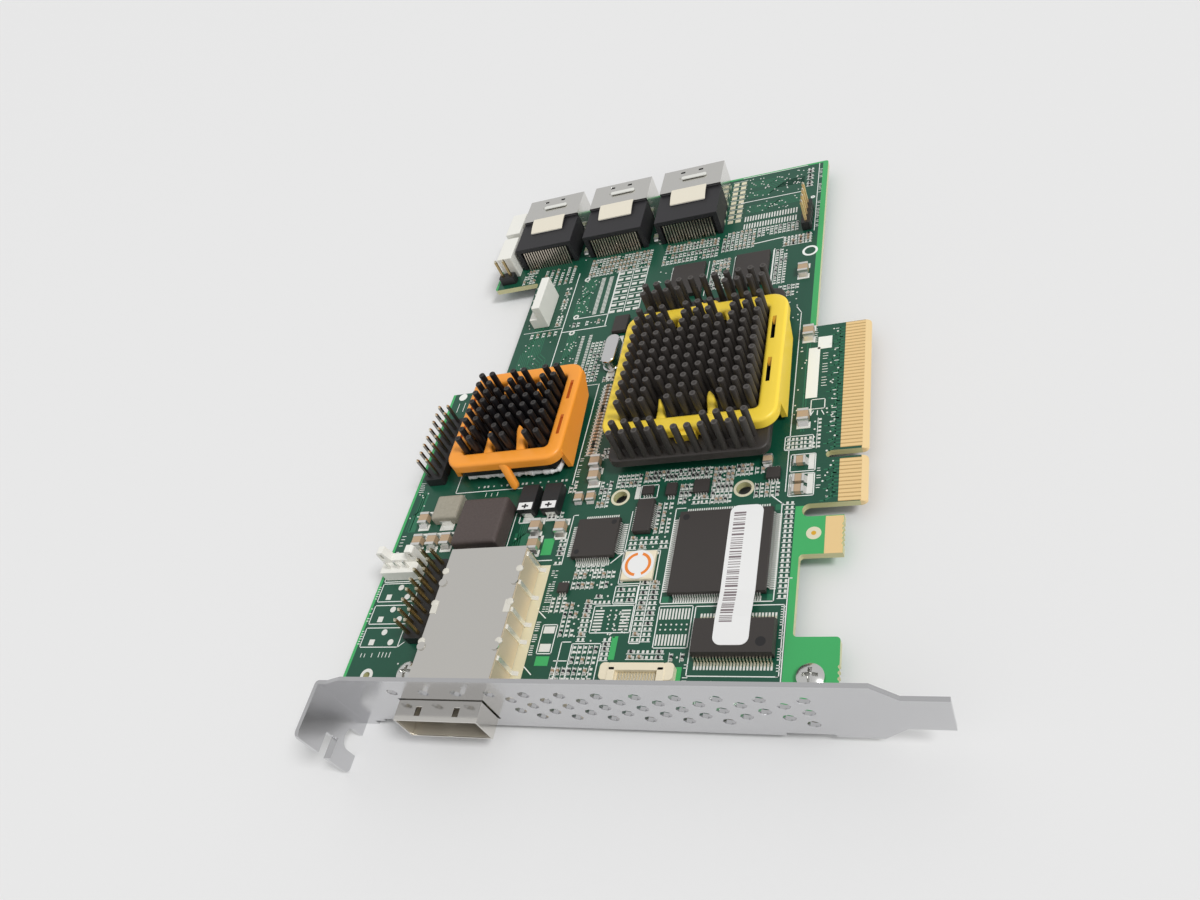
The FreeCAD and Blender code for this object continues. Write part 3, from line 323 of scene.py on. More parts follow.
def paintBoard():
    # The board keeps its CAD form: faces that look sideways are laminate, and the mask is lighter where no copper lies
    # behind it, near the right edge, on the two tabs and along the left and far edges.
    style = boardFinish
    tree, node, shader = wire(paint["mask"])
    place, cut = node("ShaderNodeTexCoord"), node("ShaderNodeSeparateXYZ")
    facing, normal = node("ShaderNodeNewGeometry"), node("ShaderNodeSeparateXYZ")
    tree.links.new(place.outputs["Object"], cut.inputs[0])
    tree.links.new(facing.outputs["True Normal"], normal.inputs[0])

    def calc(kind, *values):
        step = node("ShaderNodeMath", operation=kind)
        for k, value in enumerate(values):
            if isinstance(value, float):
                step.inputs[k].default_value = value
            else:
                tree.links.new(value, step.inputs[k])
        return step.outputs[0]

    def over(below, where, colour):
        # one colour laid over what lies below it
        mix = node("ShaderNodeMix", data_type="RGBA")
        mix.inputs["B"].default_value = colour
        tree.links.new(below, mix.inputs["A"])
        tree.links.new(where, mix.inputs["Factor"])
        return mix.outputs["Result"]

    x, y = cut.outputs["X"], cut.outputs["Y"]
    beyond = calc("MAXIMUM", calc("LESS_THAN", y, style["near"] * mm), calc("GREATER_THAN", y, style["far"] * mm))
    light = calc("MULTIPLY", calc("GREATER_THAN", x, style["right"] * mm), beyond)
    edges = calc("MAXIMUM", calc("LESS_THAN", x, style["left"] * mm), calc("GREATER_THAN", y, style["farEdge"] * mm))
    cloud = node("ShaderNodeTexNoise", Scale=style["cloudScale"], Detail=2.0)
    tree.links.new(place.outputs["Object"], cloud.inputs["Vector"])
    tone = node("ShaderNodeMix", data_type="RGBA")
    tone.inputs["A"].default_value, tone.inputs["B"].default_value = style["mask"]
    tree.links.new(cloud.outputs["Fac"], tone.inputs["Factor"])
    colour = over(tone.outputs["Result"], calc("MAXIMUM", light, edges), style["lightMask"])
    colour = over(colour, calc("LESS_THAN", calc("ABSOLUTE", normal.outputs["Z"]), 0.97), style["laminate"])
    colour = over(colour, calc("GREATER_THAN", x, style["tipFrom"] * mm), style["platedTip"])
    tree.links.new(colour, shader.inputs["Base Color"])
    cad["board"].data.materials.clear()
    cad["board"].data.materials.append(paint["mask"])


paintBoard()


class Print:
    # One thin layer over the board, gathered as closed slabs: strokes, dots, rings and rectangles.

    def __init__(self, low, high):
        self.shape, self.low, self.high = Shape(), low, high

    def flat(self, x0, y0, x1, y1, tone=0):
        self.shape.add(*prism(rect(x0, y0, x1, y1), self.low, self.high), tone)

    def stroke(self, points, width=0.2):
        # A run of straight strokes of one width; each is a slab that overlaps the next by half the width.
        for start, end in zip(np.array(points[:-1], float), np.array(points[1:], float)):
            length = np.linalg.norm(end - start)
            if length < 1e-6:
                continue
            along = (end - start) / length * width / 2
            side = np.array([-along[1], along[0]])
            a, b = start - along, end + along
            self.shape.add(*prism([a - side, b - side, b + side, a + side], self.low, self.high))

    def frame(self, x0, y0, x1, y1, width=0.2):
        self.stroke([*rect(x0, y0, x1, y1), (x0, y0)], width)

    def stamp(self, outline, places, tone=0):
        # The same small outline at many places, (n, 2).
        places = np.asarray(places, float).reshape(-1, 2)
        self.shape.repeat(*prism(outline, self.low, self.high), level(places, 0), tone)

    def dots(self, places, radius, sides=8):
        self.stamp(ring(radius, sides), places)

    def pads(self, places, wide, long, tone=0):
        self.stamp(rect(-wide / 2, -long / 2, wide / 2, long / 2), places, tone)

    def ringMark(self, x, y, outer, inner, sides=24, tone=0):
        corners = (outer, self.low), (outer, self.high), (inner, self.high), (inner, self.low)
        self.shape.add(*tube([level(ring(r, sides, x, y), z) for r, z in corners], closed=True), tone)


silk = Print(0.016, 0.036)
pads = Print(0.0, 0.045)
copper = Print(0.0, 0.014)

endPart = {"cap": 0.22, "body": 0.96, "lift": 0.04, "padTop": 0.03, "filletRise": 0.55, "filletReach": 0.9}
tanBody, darkBody, lensBody = 1, 2, 3  # paint numbers of the bodies; 0 is the metal of the ends


class Parts:
    # Small surface-mount parts in one mesh: a body between two metal ends, on two solder pads.

    def __init__(self):
        self.shape = Shape()

    def place(self, spots, wide, long, tall, body, turned=False):
        # Parts that lie along Y, or along X when turned; spots is (n, 2).
        places = level(np.asarray(spots, float).reshape(-1, 2), 0)
        cap, share = long * endPart["cap"], endPart["body"]
        core = (long - 2 * cap, wide * share) if turned else (wide * share, long - 2 * cap)
        self.shape.repeat(*box(0, 0, endPart["lift"], *core, tall * share), places, body)
        end = (cap, wide) if turned else (wide, cap)
        for sign in (-1, 1):
            shift = sign * (long - cap) / 2
            x, y = (shift, 0) if turned else (0, shift)
            self.shape.repeat(*box(x, y, endPart["padTop"], *end, tall), places)
            self.shape.repeat(*fillet(x, y, sign, turned, wide, cap, tall), places)


def fillet(x, y, sign, turned, wide, cap, tall):
    # The solder wedge that climbs a part's end: high against the part, low on its pad.
    low, rise = endPart["padTop"], tall * endPart["filletRise"]
    near, far = sign * cap / 2, sign * (cap / 2 + cap * endPart["filletReach"])
    a = wide * 0.46
    if turned:
        wedge = [(near, -a, low), (far, -a, low), (far, a, low), (near, a, low), (near, -a, rise), (near, a, rise)]
    else:
        wedge = [(a, near, low), (a, far, low), (-a, far, low), (-a, near, low), (a, near, rise), (-a, near, rise)]
    faces = [[3, 2, 1, 0], [0, 1, 4], [1, 2, 5, 4], [2, 3, 5], [3, 0, 4, 5]]
    if sign < 0:
        faces = [face[::-1] for face in faces]
    return np.array(wedge) + (x, y, 0), faces


small = Parts()


def grid(x0, y0, x1, y1, stepX, stepY):
    # Cell middles of a grid that fills a rectangle.
    columns = max(1, int(round((x1 - x0) / stepX)))
    rows = max(1, int(round((y1 - y0) / stepY)))
    x = x0 + (np.arange(columns) + 0.5) * (x1 - x0) / columns
    y = y0 + (np.arange(rows) + 0.5) * (y1 - y0) / rows
    return np.array([(a, b) for b in y for a in x])


def field(x0, y0, x1, y1, tans=0.25, darks=0.2, empties=0.4, turned=False, stepX=1.15, stepY=2.1, outlines=True):
    # A patch of small parts: shares of tan capacitors, black resistors and empty pad pairs; the rest stays bare.
    if turned:
        stepX, stepY = stepY, stepX
    spots = grid(x0, y0, x1, y1, stepX, stepY)
    pick = rng.random(len(spots))
    every = spots[pick < tans + darks + empties]
    small.place(spots[pick < tans], 0.5, 1.0, 0.5, tanBody, turned)
    small.place(spots[(pick >= tans) & (pick < tans + darks)], 0.5, 1.0, 0.35, darkBody, turned)
    shift = [0.52, 0.0] if turned else [0.0, 0.52]
    pads.pads(np.vstack([every - shift, every + shift]), *((0.52, 0.6) if turned else (0.6, 0.52)))
    if outlines:  # one bar of print beside each pair of pads
        start, end = ((-0.95, -0.45), (0.95, -0.45)) if turned else ((-0.475, -0.945), (-0.475, 0.945))
        for spot in every:
            silk.stroke([spot + start, spot + end], 0.14)
    pads.dots(spots[pick >= tans + darks + empties], 0.22)


def fieldX(*corners, **style):
    # The same with the parts along X.
    field(*corners, turned=True, **style)


def marks(x0, y0, x1, y1, upright=True, step=0.62, share=0.8):
    # A line of print reduced to short bars, as wide as the strokes of the letters it stands for.
    long = (y1 - y0) if upright else (x1 - x0)
    count = max(2, int(long / step))
    for k in range(count):
        if rng.random() > share:
            continue
        along = (k + 0.5) / count * long
        reach = 0.6 + 0.4 * rng.random()
        if upright:
            silk.stroke([(x0, y0 + along), (x0 + (x1 - x0) * reach, y0 + along)], 0.16)
        else:
            silk.stroke([(x0 + along, y0), (x0 + along, y0 + (y1 - y0) * reach)], 0.16)


boardPlan = {
    # printed outlines of unfitted parts: x0, y0, x1, y1
    "frames": [
        (46.4, 13.0, 49.7, 19.6), (54.0, 0.8, 60.4, 15.2), (57.2, 17.6, 65.9, 23.8), (61.0, 24.2, 66.0, 28.4),
        (66.2, 15.2, 68.5, 29.8), (71.4, 14.2, 78.4, 23.4), (79.0, 8.4, 96.4, 23.2), (61.3, 28.9, 69.4, 36.9),
        (62.2, 50.8, 66.2, 54.4), (95.2, 48.6, 100.4, 54.4), (95.2, 55.0, 100.4, 59.6), (93.6, 61.0, 99.6, 64.8),
        (98.6, 72.2, 101.6, 75.0), (1.3, 31.5, 12.3, 37.1, 0.22),
    ],
    # printed lines by their width: the points of each
    "lines": {
        0.16: [
            [(16.0, 112.4), (28.0, 112.4)],
        ],
        0.18: [
            [(96.0, 135.8), (96.0, 166.0)],
        ],
        0.2: [
            [(11.6, 14.6), (13.0, 15.8)], [(51.6, 6.0), (51.6, 15.6), (53.6, 15.6)], [(50.8, 11.4), (53.6, 11.4)],
            [(96.8, 0.8), (96.8, 29.0), (97.4, 29.0)], [(46.9, 34.4), (46.9, 47.4), (48.0, 47.4)],
            [(61.2, 47.4), (61.2, 34.4)], [(71.3, 24.0), (71.3, 47.4), (73.4, 47.4)],
            [(94.2, 47.0), (94.2, 24.0), (71.3, 24.0)], [(94.6, 50.0), (94.6, 104.4), (93.4, 106.6)],
            [(86.0, 116.6), (86.0, 131.0)], [(74.0, 166.2), (92.6, 166.2)], [(34.6, 88.6), (43.8, 88.6)],
            [(12.4, 56.6), (12.4, 64.0)],
        ],
        0.22: [
            [(42.6, 24.6), (44.4, 22.9), (46.4, 21.2)], [(43.8, 10.6), (46.4, 8.4)], [(12.4, 56.6), (31.2, 56.6)],
            [(31.7, 36.0), (31.7, 49.0)],
        ],
        0.24: [
            [(58.6, 34.2), (61.6, 37.2)], [(92.0, 49.0), (94.6, 46.6)], [(28.2, 89.2), (28.2, 135.4)],
            [(44.3, 57.0), (44.3, 88.6)], [(40.0, 35.6), (44.2, 35.6)],
        ],
        0.26: [
            [(74.5, 154.2), (92.4, 154.2)], [(28.4, 110.6), (41.6, 110.6)], [(31.0, 115.4), (41.2, 115.4)],
            [(41.2, 111.0), (41.2, 134.6)], [(33.0, 48.8), (33.0, 46.2), (35.8, 46.2)],
        ],
        0.3: [
            [(80.0, 134.6), (88.0, 135.2)],
        ],
    },
    # bare copper and open mask: x0, y0, x1, y1 and, where it isn't tin, the paint's number
    "flats": [
        (20.4, 0.9, 44.4, 34.3, 1), (46.8, 17.6, 49.3, 19.2), (46.8, 13.4, 49.3, 15.2), (46.6, 10.3, 49.6, 12.4, 2),
        (62.5, 11.7, 63.8, 16.8, 2), (76.6, 6.6, 78.0, 10.2, 2), (60.9, 50.8, 62.0, 54.2), (99.0, 49.0, 100.2, 54.2),
        (99.0, 55.4, 100.2, 59.4), (95.4, 48.9, 96.0, 54.2), (41.0, 37.0, 43.6, 41.4, 2),
    ],
}


def boardPrint():
    # Print, pads and small parts, area by area.
    for corners in boardPlan["frames"]:
        silk.frame(*corners)
    for width, paths in boardPlan["lines"].items():
        for path in paths:
            silk.stroke(path, width)
    for row in boardPlan["flats"]:
        pads.flat(*row)
    # left edge: three unfitted three-way connectors beside the near header
    for y in (14.6, 20.4, 26.2):
        silk.frame(1.4, y, 11.6, y + 4.8)
        pads.flat(3.5, y + 0.5, 4.9, y + 1.9)
        pads.dots([(6.7, y + 3.7), (9.3, y + 1.2)], 0.75, 16)
        marks(0.5, y + 0.5, 1.1, y + 4.3)
    marks(2.2, 12.2, 10.8, 13.4, upright=False, step=0.9)
    pads.ringMark(6.2, 7.8, 1.6, 0.82)
    # the ground field that the port's cage stands on
    for x in (45.2, 46.0):
        marks(x, 22.5, x + 0.6, 33.6, step=0.55)
    marks(44.7, 12.5, 45.6, 20.5, step=0.5)
    # dense patches between the ground field and the large flat pack
    field(50.2, 16.6, 54.0, 25.0)
    field(50.6, 1.6, 60.0, 10.2, 0.15, 0.2, 0.6)
    field(54.2, 10.4, 60.2, 15.0, 0.1, 0.15, 0.7)
    fieldX(54.3, 15.6, 57.0, 25.4, 0.2, 0.3, 0.5)
    for y in np.arange(18.3, 23.3, 0.72):
        pads.pads([(58.6, y), (64.4, y)], 2.0, 0.36)
    pads.dots(grid(60.4, 18.0, 62.8, 23.2, 1.1, 1.1), 0.2)
    fieldX(56.6, 24.0, 60.6, 26.8)
    fieldX(61.2, 24.4, 65.8, 28.2, 0.1, 0.3, 0.6)
    fieldX(66.3, 15.4, 70.8, 29.6, 0.15, 0.35, 0.45)
    fieldX(60.8, 11.4, 62.2, 16.6)
    marks(62.7, 12.3, 63.6, 16.2)
    fieldX(66.2, 11.6, 74.0, 14.0, 0.15, 0.4, 0.45)
    for x in np.arange(71.9, 78.3, 0.65):
        pads.pads([(x, 15.9), (x, 21.6)], 0.36, 2.4)
    pads.dots(grid(71.8, 17.6, 78.2, 19.8, 1.0, 0.9), 0.2)
    field(75.0, 10.8, 78.4, 13.6)
    marks(78.4, 1.2, 79.3, 11.0)
    marks(95.9, 1.0, 96.7, 23.6, step=0.55)
    marks(79.4, 5.0, 80.2, 7.6)
    marks(92.6, 5.4, 94.2, 7.8)
    pads.dots([(84.0, 7.2), (90.3, 4.2), (82.2, 2.6), (86.6, 3.4), (94.6, 3.0)], 0.28)
    field(46.6, 22.4, 50.6, 26.2, 0.3, 0.2, 0.4)
    field(50.6, 27.6, 60.4, 32.6, 0.3, 0.15, 0.4)
    fieldX(44.8, 34.2, 47.0, 41.4)
    field(50.8, 32.6, 57.6, 33.6, 0, 0, 0.8)
    pads.dots([(62.0, 29.6), (68.8, 36.2)], 0.4)
    fieldX(61.6, 37.2, 71.0, 40.8, 0.1, 0.3, 0.5)
    field(66.8, 41.0, 70.8, 49.4, 0.2, 0.25, 0.4)
    fieldX(94.6, 24.4, 97.0, 47.6, 0.15, 0.2, 0.6, stepY=1.9)
    # between the two spare holes and along the large heatsink
    for x in (57.4, 85.7):
        pads.ringMark(x, 51.6, 2.25, 1.66, tone=1)
    field(55.8, 54.2, 62.0, 58.0, 0.35, 0.2, 0.4, stepX=1.0, stepY=1.7)
    for corners in ((62.4, 55.4, 78.4, 58.2), (83.6, 55.2, 87.4, 58.2), (50.4, 63.6, 53.4, 66.4)):
        field(*corners, 0.25, 0.25, 0.45, stepX=1.0, stepY=1.6)
    field(71.4, 48.6, 74.4, 54.0, 0.2, 0.25, 0.5)
    field(78.6, 48.2, 83.4, 58.0, 0.2, 0.3, 0.45, stepX=1.0, stepY=1.75)
    field(88.0, 48.8, 93.6, 52.8, 0.25, 0.2, 0.5)
    field(87.6, 55.0, 90.2, 57.4)
    fieldX(74.6, 48.2, 78.2, 50.6)
    marks(100.9, 48.8, 101.7, 55.8)
    fieldX(93.9, 61.2, 99.4, 64.6, 0, 0, 1.0)
    field(99.2, 60.8, 101.4, 69.6, 0.1, 0.1, 0.5)
    # beside the large heatsink: unlabelled blocks where a name and a number would be
    silk.flat(97.2, 75.6, 99.8, 91.4)
    silk.flat(99.2, 90.8, 102.4, 94.8)
    marks(100.6, 78.6, 101.8, 89.6, step=0.8)
    marks(98.2, 93.0, 99.0, 98.0)
    for a in (-0.9, 0.0, 0.9):
        silk.stroke([(100.1 + a, 71.6), (100.1 + a * 1.6, 70.4)])
    marks(103.2, 62.2, 104.2, 97.6, step=1.3, share=0.35)
    # the far right: header, small parts and an unfitted driver
    field(88.2, 110.8, 93.6, 115.8, 0.2, 0.2, 0.5)
    field(86.4, 116.4, 89.8, 130.4, 0.1, 0.3, 0.5)
    fieldX(88.0, 131.2, 95.6, 135.4, 0.2, 0.25, 0.5)
    for x in np.arange(76.5, 91.0, 0.75):
        pads.pads([(x, 146.2), (x, 142.9)], 0.38, 2.2)
    field(80.6, 137.2, 92.0, 141.2, 0.05, 0.1, 0.8)
    field(71.0, 133.2, 80.4, 141.4, 0.35, 0.15, 0.45)
    field(54.0, 131.8, 70.4, 136.6, 0.35, 0.15, 0.45)
    fieldX(54.2, 137.0, 70.0, 140.6, 0.35, 0.15, 0.45)
    field(31.4, 132.6, 50.6, 140.6, 0.35, 0.15, 0.45)
    field(16.0, 131.8, 27.0, 139.6, 0.3, 0.1, 0.5, stepX=1.9)
    field(9.2, 134.6, 13.6, 141.2, 0.3, 0.1, 0.5)
    marks(96.3, 136.4, 97.0, 148.4)
    marks(96.3, 152.0, 97.0, 164.0)
    silk.ringMark(95.4, 127.6, 2.0, 1.4)
    silk.ringMark(94.9, 150.6, 0.6, 0.2, 12)
    for y in (157.2, 160.4, 163.6):
        fieldX(92.6, y - 1.4, 94.8, y + 1.2, 0, 0.4, 0.5)
    for y in np.arange(146.2, 164.0, 2.2):
        pads.pads([(72.2, y), (74.4, y)], 1.5, 1.3, 1)
        silk.stroke([(71.2, y + 1.1), (75.4, y + 1.1)], 0.14)
    # memory corners
    for x in (63.0, 80.6):
        silk.stroke([(x - 5.2, 121.0), (x - 5.2, 130.4), (x - 3.8, 130.4)])
        silk.stroke([(x + 5.2, 116.6), (x + 5.2, 130.4)])
    field(69.2, 118.2, 74.4, 130.4, 0.3, 0.15, 0.45)
    # left of the large heatsink
    pads.pads([(x, y) for x in (36.8, 39.2) for y in np.arange(116.4, 131.4, 0.55)], 1.2, 0.3)
    for y in np.arange(116.0, 133.0, 2.65):
        for x in (43.4, 48.0):
            pads.pads([(x - 1.1, y), (x + 1.1, y)], 1.5, 0.95)
            silk.stroke([(x - 1.9, y + 1.2), (x + 1.9, y + 1.2)])
    for x in (41.4, 45.7, 50.1):
        silk.stroke([(x, 115.4), (x, 134.2)])
    pads.pads([(x, y) for y in np.arange(92.0, 108.0, 0.6) for x in (35.6, 37.9)], 0.9, 0.3)
    field(38.8, 89.6, 43.4, 104.8, 0.1, 0.35, 0.5)
    for x, y in ((31.4, 132.0), (31.4, 116.2), (31.6, 109.8)):
        pads.ringMark(x, y, 0.9, 0.4, 12)
    field(29.6, 111.4, 33.6, 114.4, 0.2, 0.2, 0.5)
    field(35.0, 111.4, 40.8, 114.4, 0.1, 0.2, 0.6)
    field(18.2, 109.6, 27.4, 111.8, 0.2, 0.1, 0.6, stepX=1.7)
    fieldX(24.9, 113.4, 27.6, 130.0, 0.2, 0.1, 0.4, stepY=2.3)
    # the column between the two heatsinks
    for y in np.arange(65.4, 87.6, 1.05):
        small.place([(47.3, y)], 0.55, 1.5, 0.4, darkBody if int(y * 10) % 5 == 0 else tanBody, turned=True)
        pads.pads([(46.2, y), (48.4, y)], 0.6, 0.6)
        silk.stroke([(45.6, y - 0.52), (49.0, y - 0.52)], 0.14)
    field(44.9, 88.6, 50.8, 91.4, 0.2, 0.2, 0.4)
    marks(44.8, 58.4, 45.6, 64.4)
    # round the small heatsink and the coils
    marks(1.0, 57.6, 2.4, 61.0)
    marks(20.6, 54.9, 25.4, 56.0, upright=False, step=1.2)
    field(40.2, 46.4, 44.4, 49.2, 0.2, 0.1, 0.5)
    field(51.8, 49.0, 55.0, 56.6, 0.3, 0.15, 0.4)
    field(43.8, 54.0, 46.0, 57.4, 0.2, 0.2, 0.4)
    marks(1.4, 37.6, 2.4, 45.8, step=0.9)
    fieldX(17.6, 57.2, 43.0, 58.6, 0.0, 0.1, 0.15, outlines=False)
    # left edge round the tall header and the far connectors
    silk.ringMark(3.4, 90.2, 1.25, 0.02, 16)
    marks(2.6, 84.8, 5.4, 88.6, upright=False, step=0.9)
    # vias
    for x0, y0, x1, y1, count in [
        (76.0, 155.4, 91.6, 165.0, 60), (76.0, 148.4, 91.6, 153.4, 24), (29.4, 92.0, 34.4, 108.6, 26),
        (17.0, 90.4, 27.4, 107.6, 30), (30.0, 117.4, 35.6, 131.0, 34), (16.6, 114.0, 19.4, 130.4, 8),
        (51.2, 2.0, 60.0, 24.0, 24), (60.2, 16.4, 66.0, 23.4, 20), (53.0, 109.6, 58.0, 130.0, 20),
        (95.0, 66.4, 96.8, 95.4, 12), (102.0, 61.0, 104.4, 98.0, 12), (102.0, 47.4, 104.4, 57.6, 5),
        (33.0, 36.0, 37.4, 49.0, 10), (1.4, 46.0, 4.6, 58.0, 8), (86.4, 100.0, 94.0, 110.4, 18),
        (28.6, 141.0, 30.2, 165.0, 14), (50.9, 141.6, 52.2, 165.0, 14), (1.4, 2.4, 16.0, 11.8, 5),
    ]:
        pads.dots(np.column_stack([rng.uniform(x0, x1, count), rng.uniform(y0, y1, count)]), 0.2)


boardPrint()

trackPlan = {
    "width": 0.22,
    # parallel tracks with one 45 degree jog: x and y of the first one's start and end, how many, gap, jog
    "families": [
        (29.6, 90.0, 29.6, 110.0, 5, 0.55, 1.4), (17.4, 89.8, 17.4, 131.0, 6, 0.6, 2.2),
        (30.4, 117.0, 30.4, 131.6, 8, 0.5, 0.9), (23.0, 89.8, 23.0, 110.0, 6, 0.55, -2.4),
        (76.4, 156.0, 92.0, 156.0, 5, 0.6, 2.6), (76.4, 160.8, 92.0, 160.8, 5, 0.6, -2.2),
        (76.4, 149.0, 92.0, 149.0, 6, 0.6, 1.2), (1.6, 46.0, 1.6, 58.0, 3, 0.6, 0.8),
        (33.0, 36.0, 33.0, 49.4, 4, 0.55, 0.9), (60.4, 1.6, 60.4, 10.8, 3, 0.5, 0.6),
        (79.6, 1.6, 95.6, 1.6, 6, 0.6, 1.0), (2.0, 2.0, 16.0, 2.0, 4, 0.9, 1.6),
        (2.4, 91.0, 14.0, 80.5, 1, 0.6, 0.9), (96.8, 66.0, 96.8, 98.0, 2, 0.6, 0.0),
    ],
    "planes": [(2.4, 45.6, 4.4, 57.2), (33.0, 36.4, 37.2, 43.4)],
}


def tracks():
    # Copper tracks that show through the mask, and the short ones that lead away from the edge fingers.
    for x0, y0, x1, y1, count, gap, jog in trackPlan["families"]:
        upright = abs(y1 - y0) > abs(x1 - x0)
        start, end, beside = (y0, y1, x0) if upright else (x0, x1, y0)
        for k in range(count):
            at = beside + k * gap
            turn = start + (end - start) * (0.35 + 0.04 * k)
            path = [(start, at), (turn, at), (turn + abs(jog) * np.sign(end - start), at + jog), (end, at + jog)]
            copper.stroke([point[::-1] for point in path] if upright else path, trackPlan["width"])
    for corners in trackPlan["planes"]:
        copper.flat(*corners)
    for k, y in enumerate(np.arange(48.0, 97.8, 1.0)):
        if 57.0 < y < 61.0:
            continue
        reach = 101.9 + (k * 7 % 5) * 0.5
        copper.stroke([(105.4, y), (104.2, y), (reach + 0.8, y - 1.0), (reach, y - 1.0)], 0.3)
        if k % 4 == 1:
            pads.dots([(reach + 0.2, y - 1.0)], 0.24)


tracks()

edge = {
    "first": 47.1, "last": 98.3, "pitch": 1.0, "key": (57.4, 60.7), "x": (105.4, 109.85), "halfWidth": 0.36,
    # the hook tab's strip: x from and to, y from and to, and the radius, middle and pitch of the board's own bites
    "strip": (103.2, 106.75, 34.3, 43.1), "bite": 0.47, "biteMiddle": (106.95, 38.8), "bitePitch": 1.15,
    "target": (101.0, 39.2),
}


def edgeFingers():
    # Gold contact fingers on both faces, and the plated strip and target on the hook tab.
    shape = Shape()
    (x0, x1), half = edge["x"], edge["halfWidth"]
    stations = np.arange(edge["first"], edge["last"], edge["pitch"])
    spots = [(0, y, 0) for y in stations if not edge["key"][0] < y < edge["key"][1]]
    for low, high in ((0.0, 0.05), (-1.62, -1.57)):
        shape.repeat(*prism(rect(x0, -edge["pitch"] / 2, x1, edge["pitch"] / 2), low, high - 0.02), spots, 2)
        shape.repeat(*prism(rect(x0, -half, x1, half), low, high), spots)
    # the strip follows the bites where the panel broke off
    (middleX, middleY), r = edge["biteMiddle"], edge["bite"]
    bites = [middleY + k * edge["bitePitch"] for k in (-2, -1, 0, 1, 2)]
    rim = [(middleX + r * cos(a), y + r * sin(a)) for y in bites for a in np.linspace(radians(244), radians(116), 7)]
    x0, x1, y0, y1 = edge["strip"]
    shape.add(*prism([(x0, y0), (x1, y0), *rim, (x1, y1), (x0, y1)], 0.0, 0.05))
    shape.add(*prism(ring(1.5, 24, *edge["target"]), 0.0, 0.05), 1)
    shape.add(*prism(ring(0.5, 16, *edge["target"]), 0.0, 0.07), 3)
    make("edgeFingers", shape, ["gold", "paleGold", "fingerGap", "targetYellowAndRampShade"], "brass_posts")


edgeFingers()

# leads of the flat packs and the small-outline package


def leadProfile(reach, shoulder, foot, thick):
    # A gull-wing lead seen from the side, from the body outwards: shoulder, slope and foot, as (distance, height).
    low = 0.05
    bend, toe = reach * 0.28, low + thick
    top = [(0.0, shoulder), (bend, shoulder), (reach - foot * 1.15, toe), (reach, toe)]
    under = [(reach, low), (reach - foot * 1.35, low), (bend - thick * 0.7, shoulder - thick), (0.0, shoulder - thick)]
    return top + under


def leads(shape, x, y, half, reach, count, pitch, wide, shoulder, sides="nesw", thick=0.13, foot=0.45):
    # Rows of leads on the named sides of a package of half-size (a, b).
    profile = leadProfile(reach, shoulder, foot, thick)
    offsets = (np.arange(count) - (count - 1) / 2) * pitch
    for side in sides:
        along = side in "ns"
        sign = 1 if side in "ne" else -1
        run = [(sign * (half[1 if along else 0] + d), z) for d, z in profile]
        points, faces = sweep(run, (-wide / 2, wide / 2), "x" if along else "y")
        shape.repeat(points, faces, [(x + d, y, 0) if along else (x, y + d, 0) for d in offsets])


def package(shape, x, y, wide, long, low, high, tone=1, waist=0.12):
    # A moulded body: two frustums that meet at a waist, drawn in towards the top and the bottom.
    middle, a, b = (low + high) / 2, wide / 2, long / 2
    steps = ((waist, low), (0.0, middle - 0.04), (0.0, middle + 0.04), (waist, high))
    rings = [level(rect(x - a + inset, y - b + inset, x + a - inset, y + b - inset), z) for inset, z in steps]
    shape.add(*tube(rings), tone)


quadPacks = {  # side, leads on a side, dots from the middle, their radius, sides and height
    "largeFlatPack": {"node": "big_flat_pack", "middle": (82.9, 35.5), "side": 20, "leads": 36,
                      "dots": [(-8.4, 8.4)], "dot": (0.75, 20, 1.504)},
    "smallFlatPack": {"node": "small_flat_pack", "middle": (54.3, 40.2), "side": 10, "leads": 16,
                      "dots": [(-3.7, -3.7), (3.7, 3.7)], "dot": (0.62, 18, 1.503)},
}
quadLead = {"pitch": 0.5, "reach": 1.05, "width": 0.24, "shoulder": 0.85, "pad": (1.2, 0.3), "padFrom": 0.95}
outlinePack = {"middle": (87.7, 15.6), "size": (15.9, 7.5), "leads": 24, "pitch": 0.635, "dot": (93.2, 14.2)}


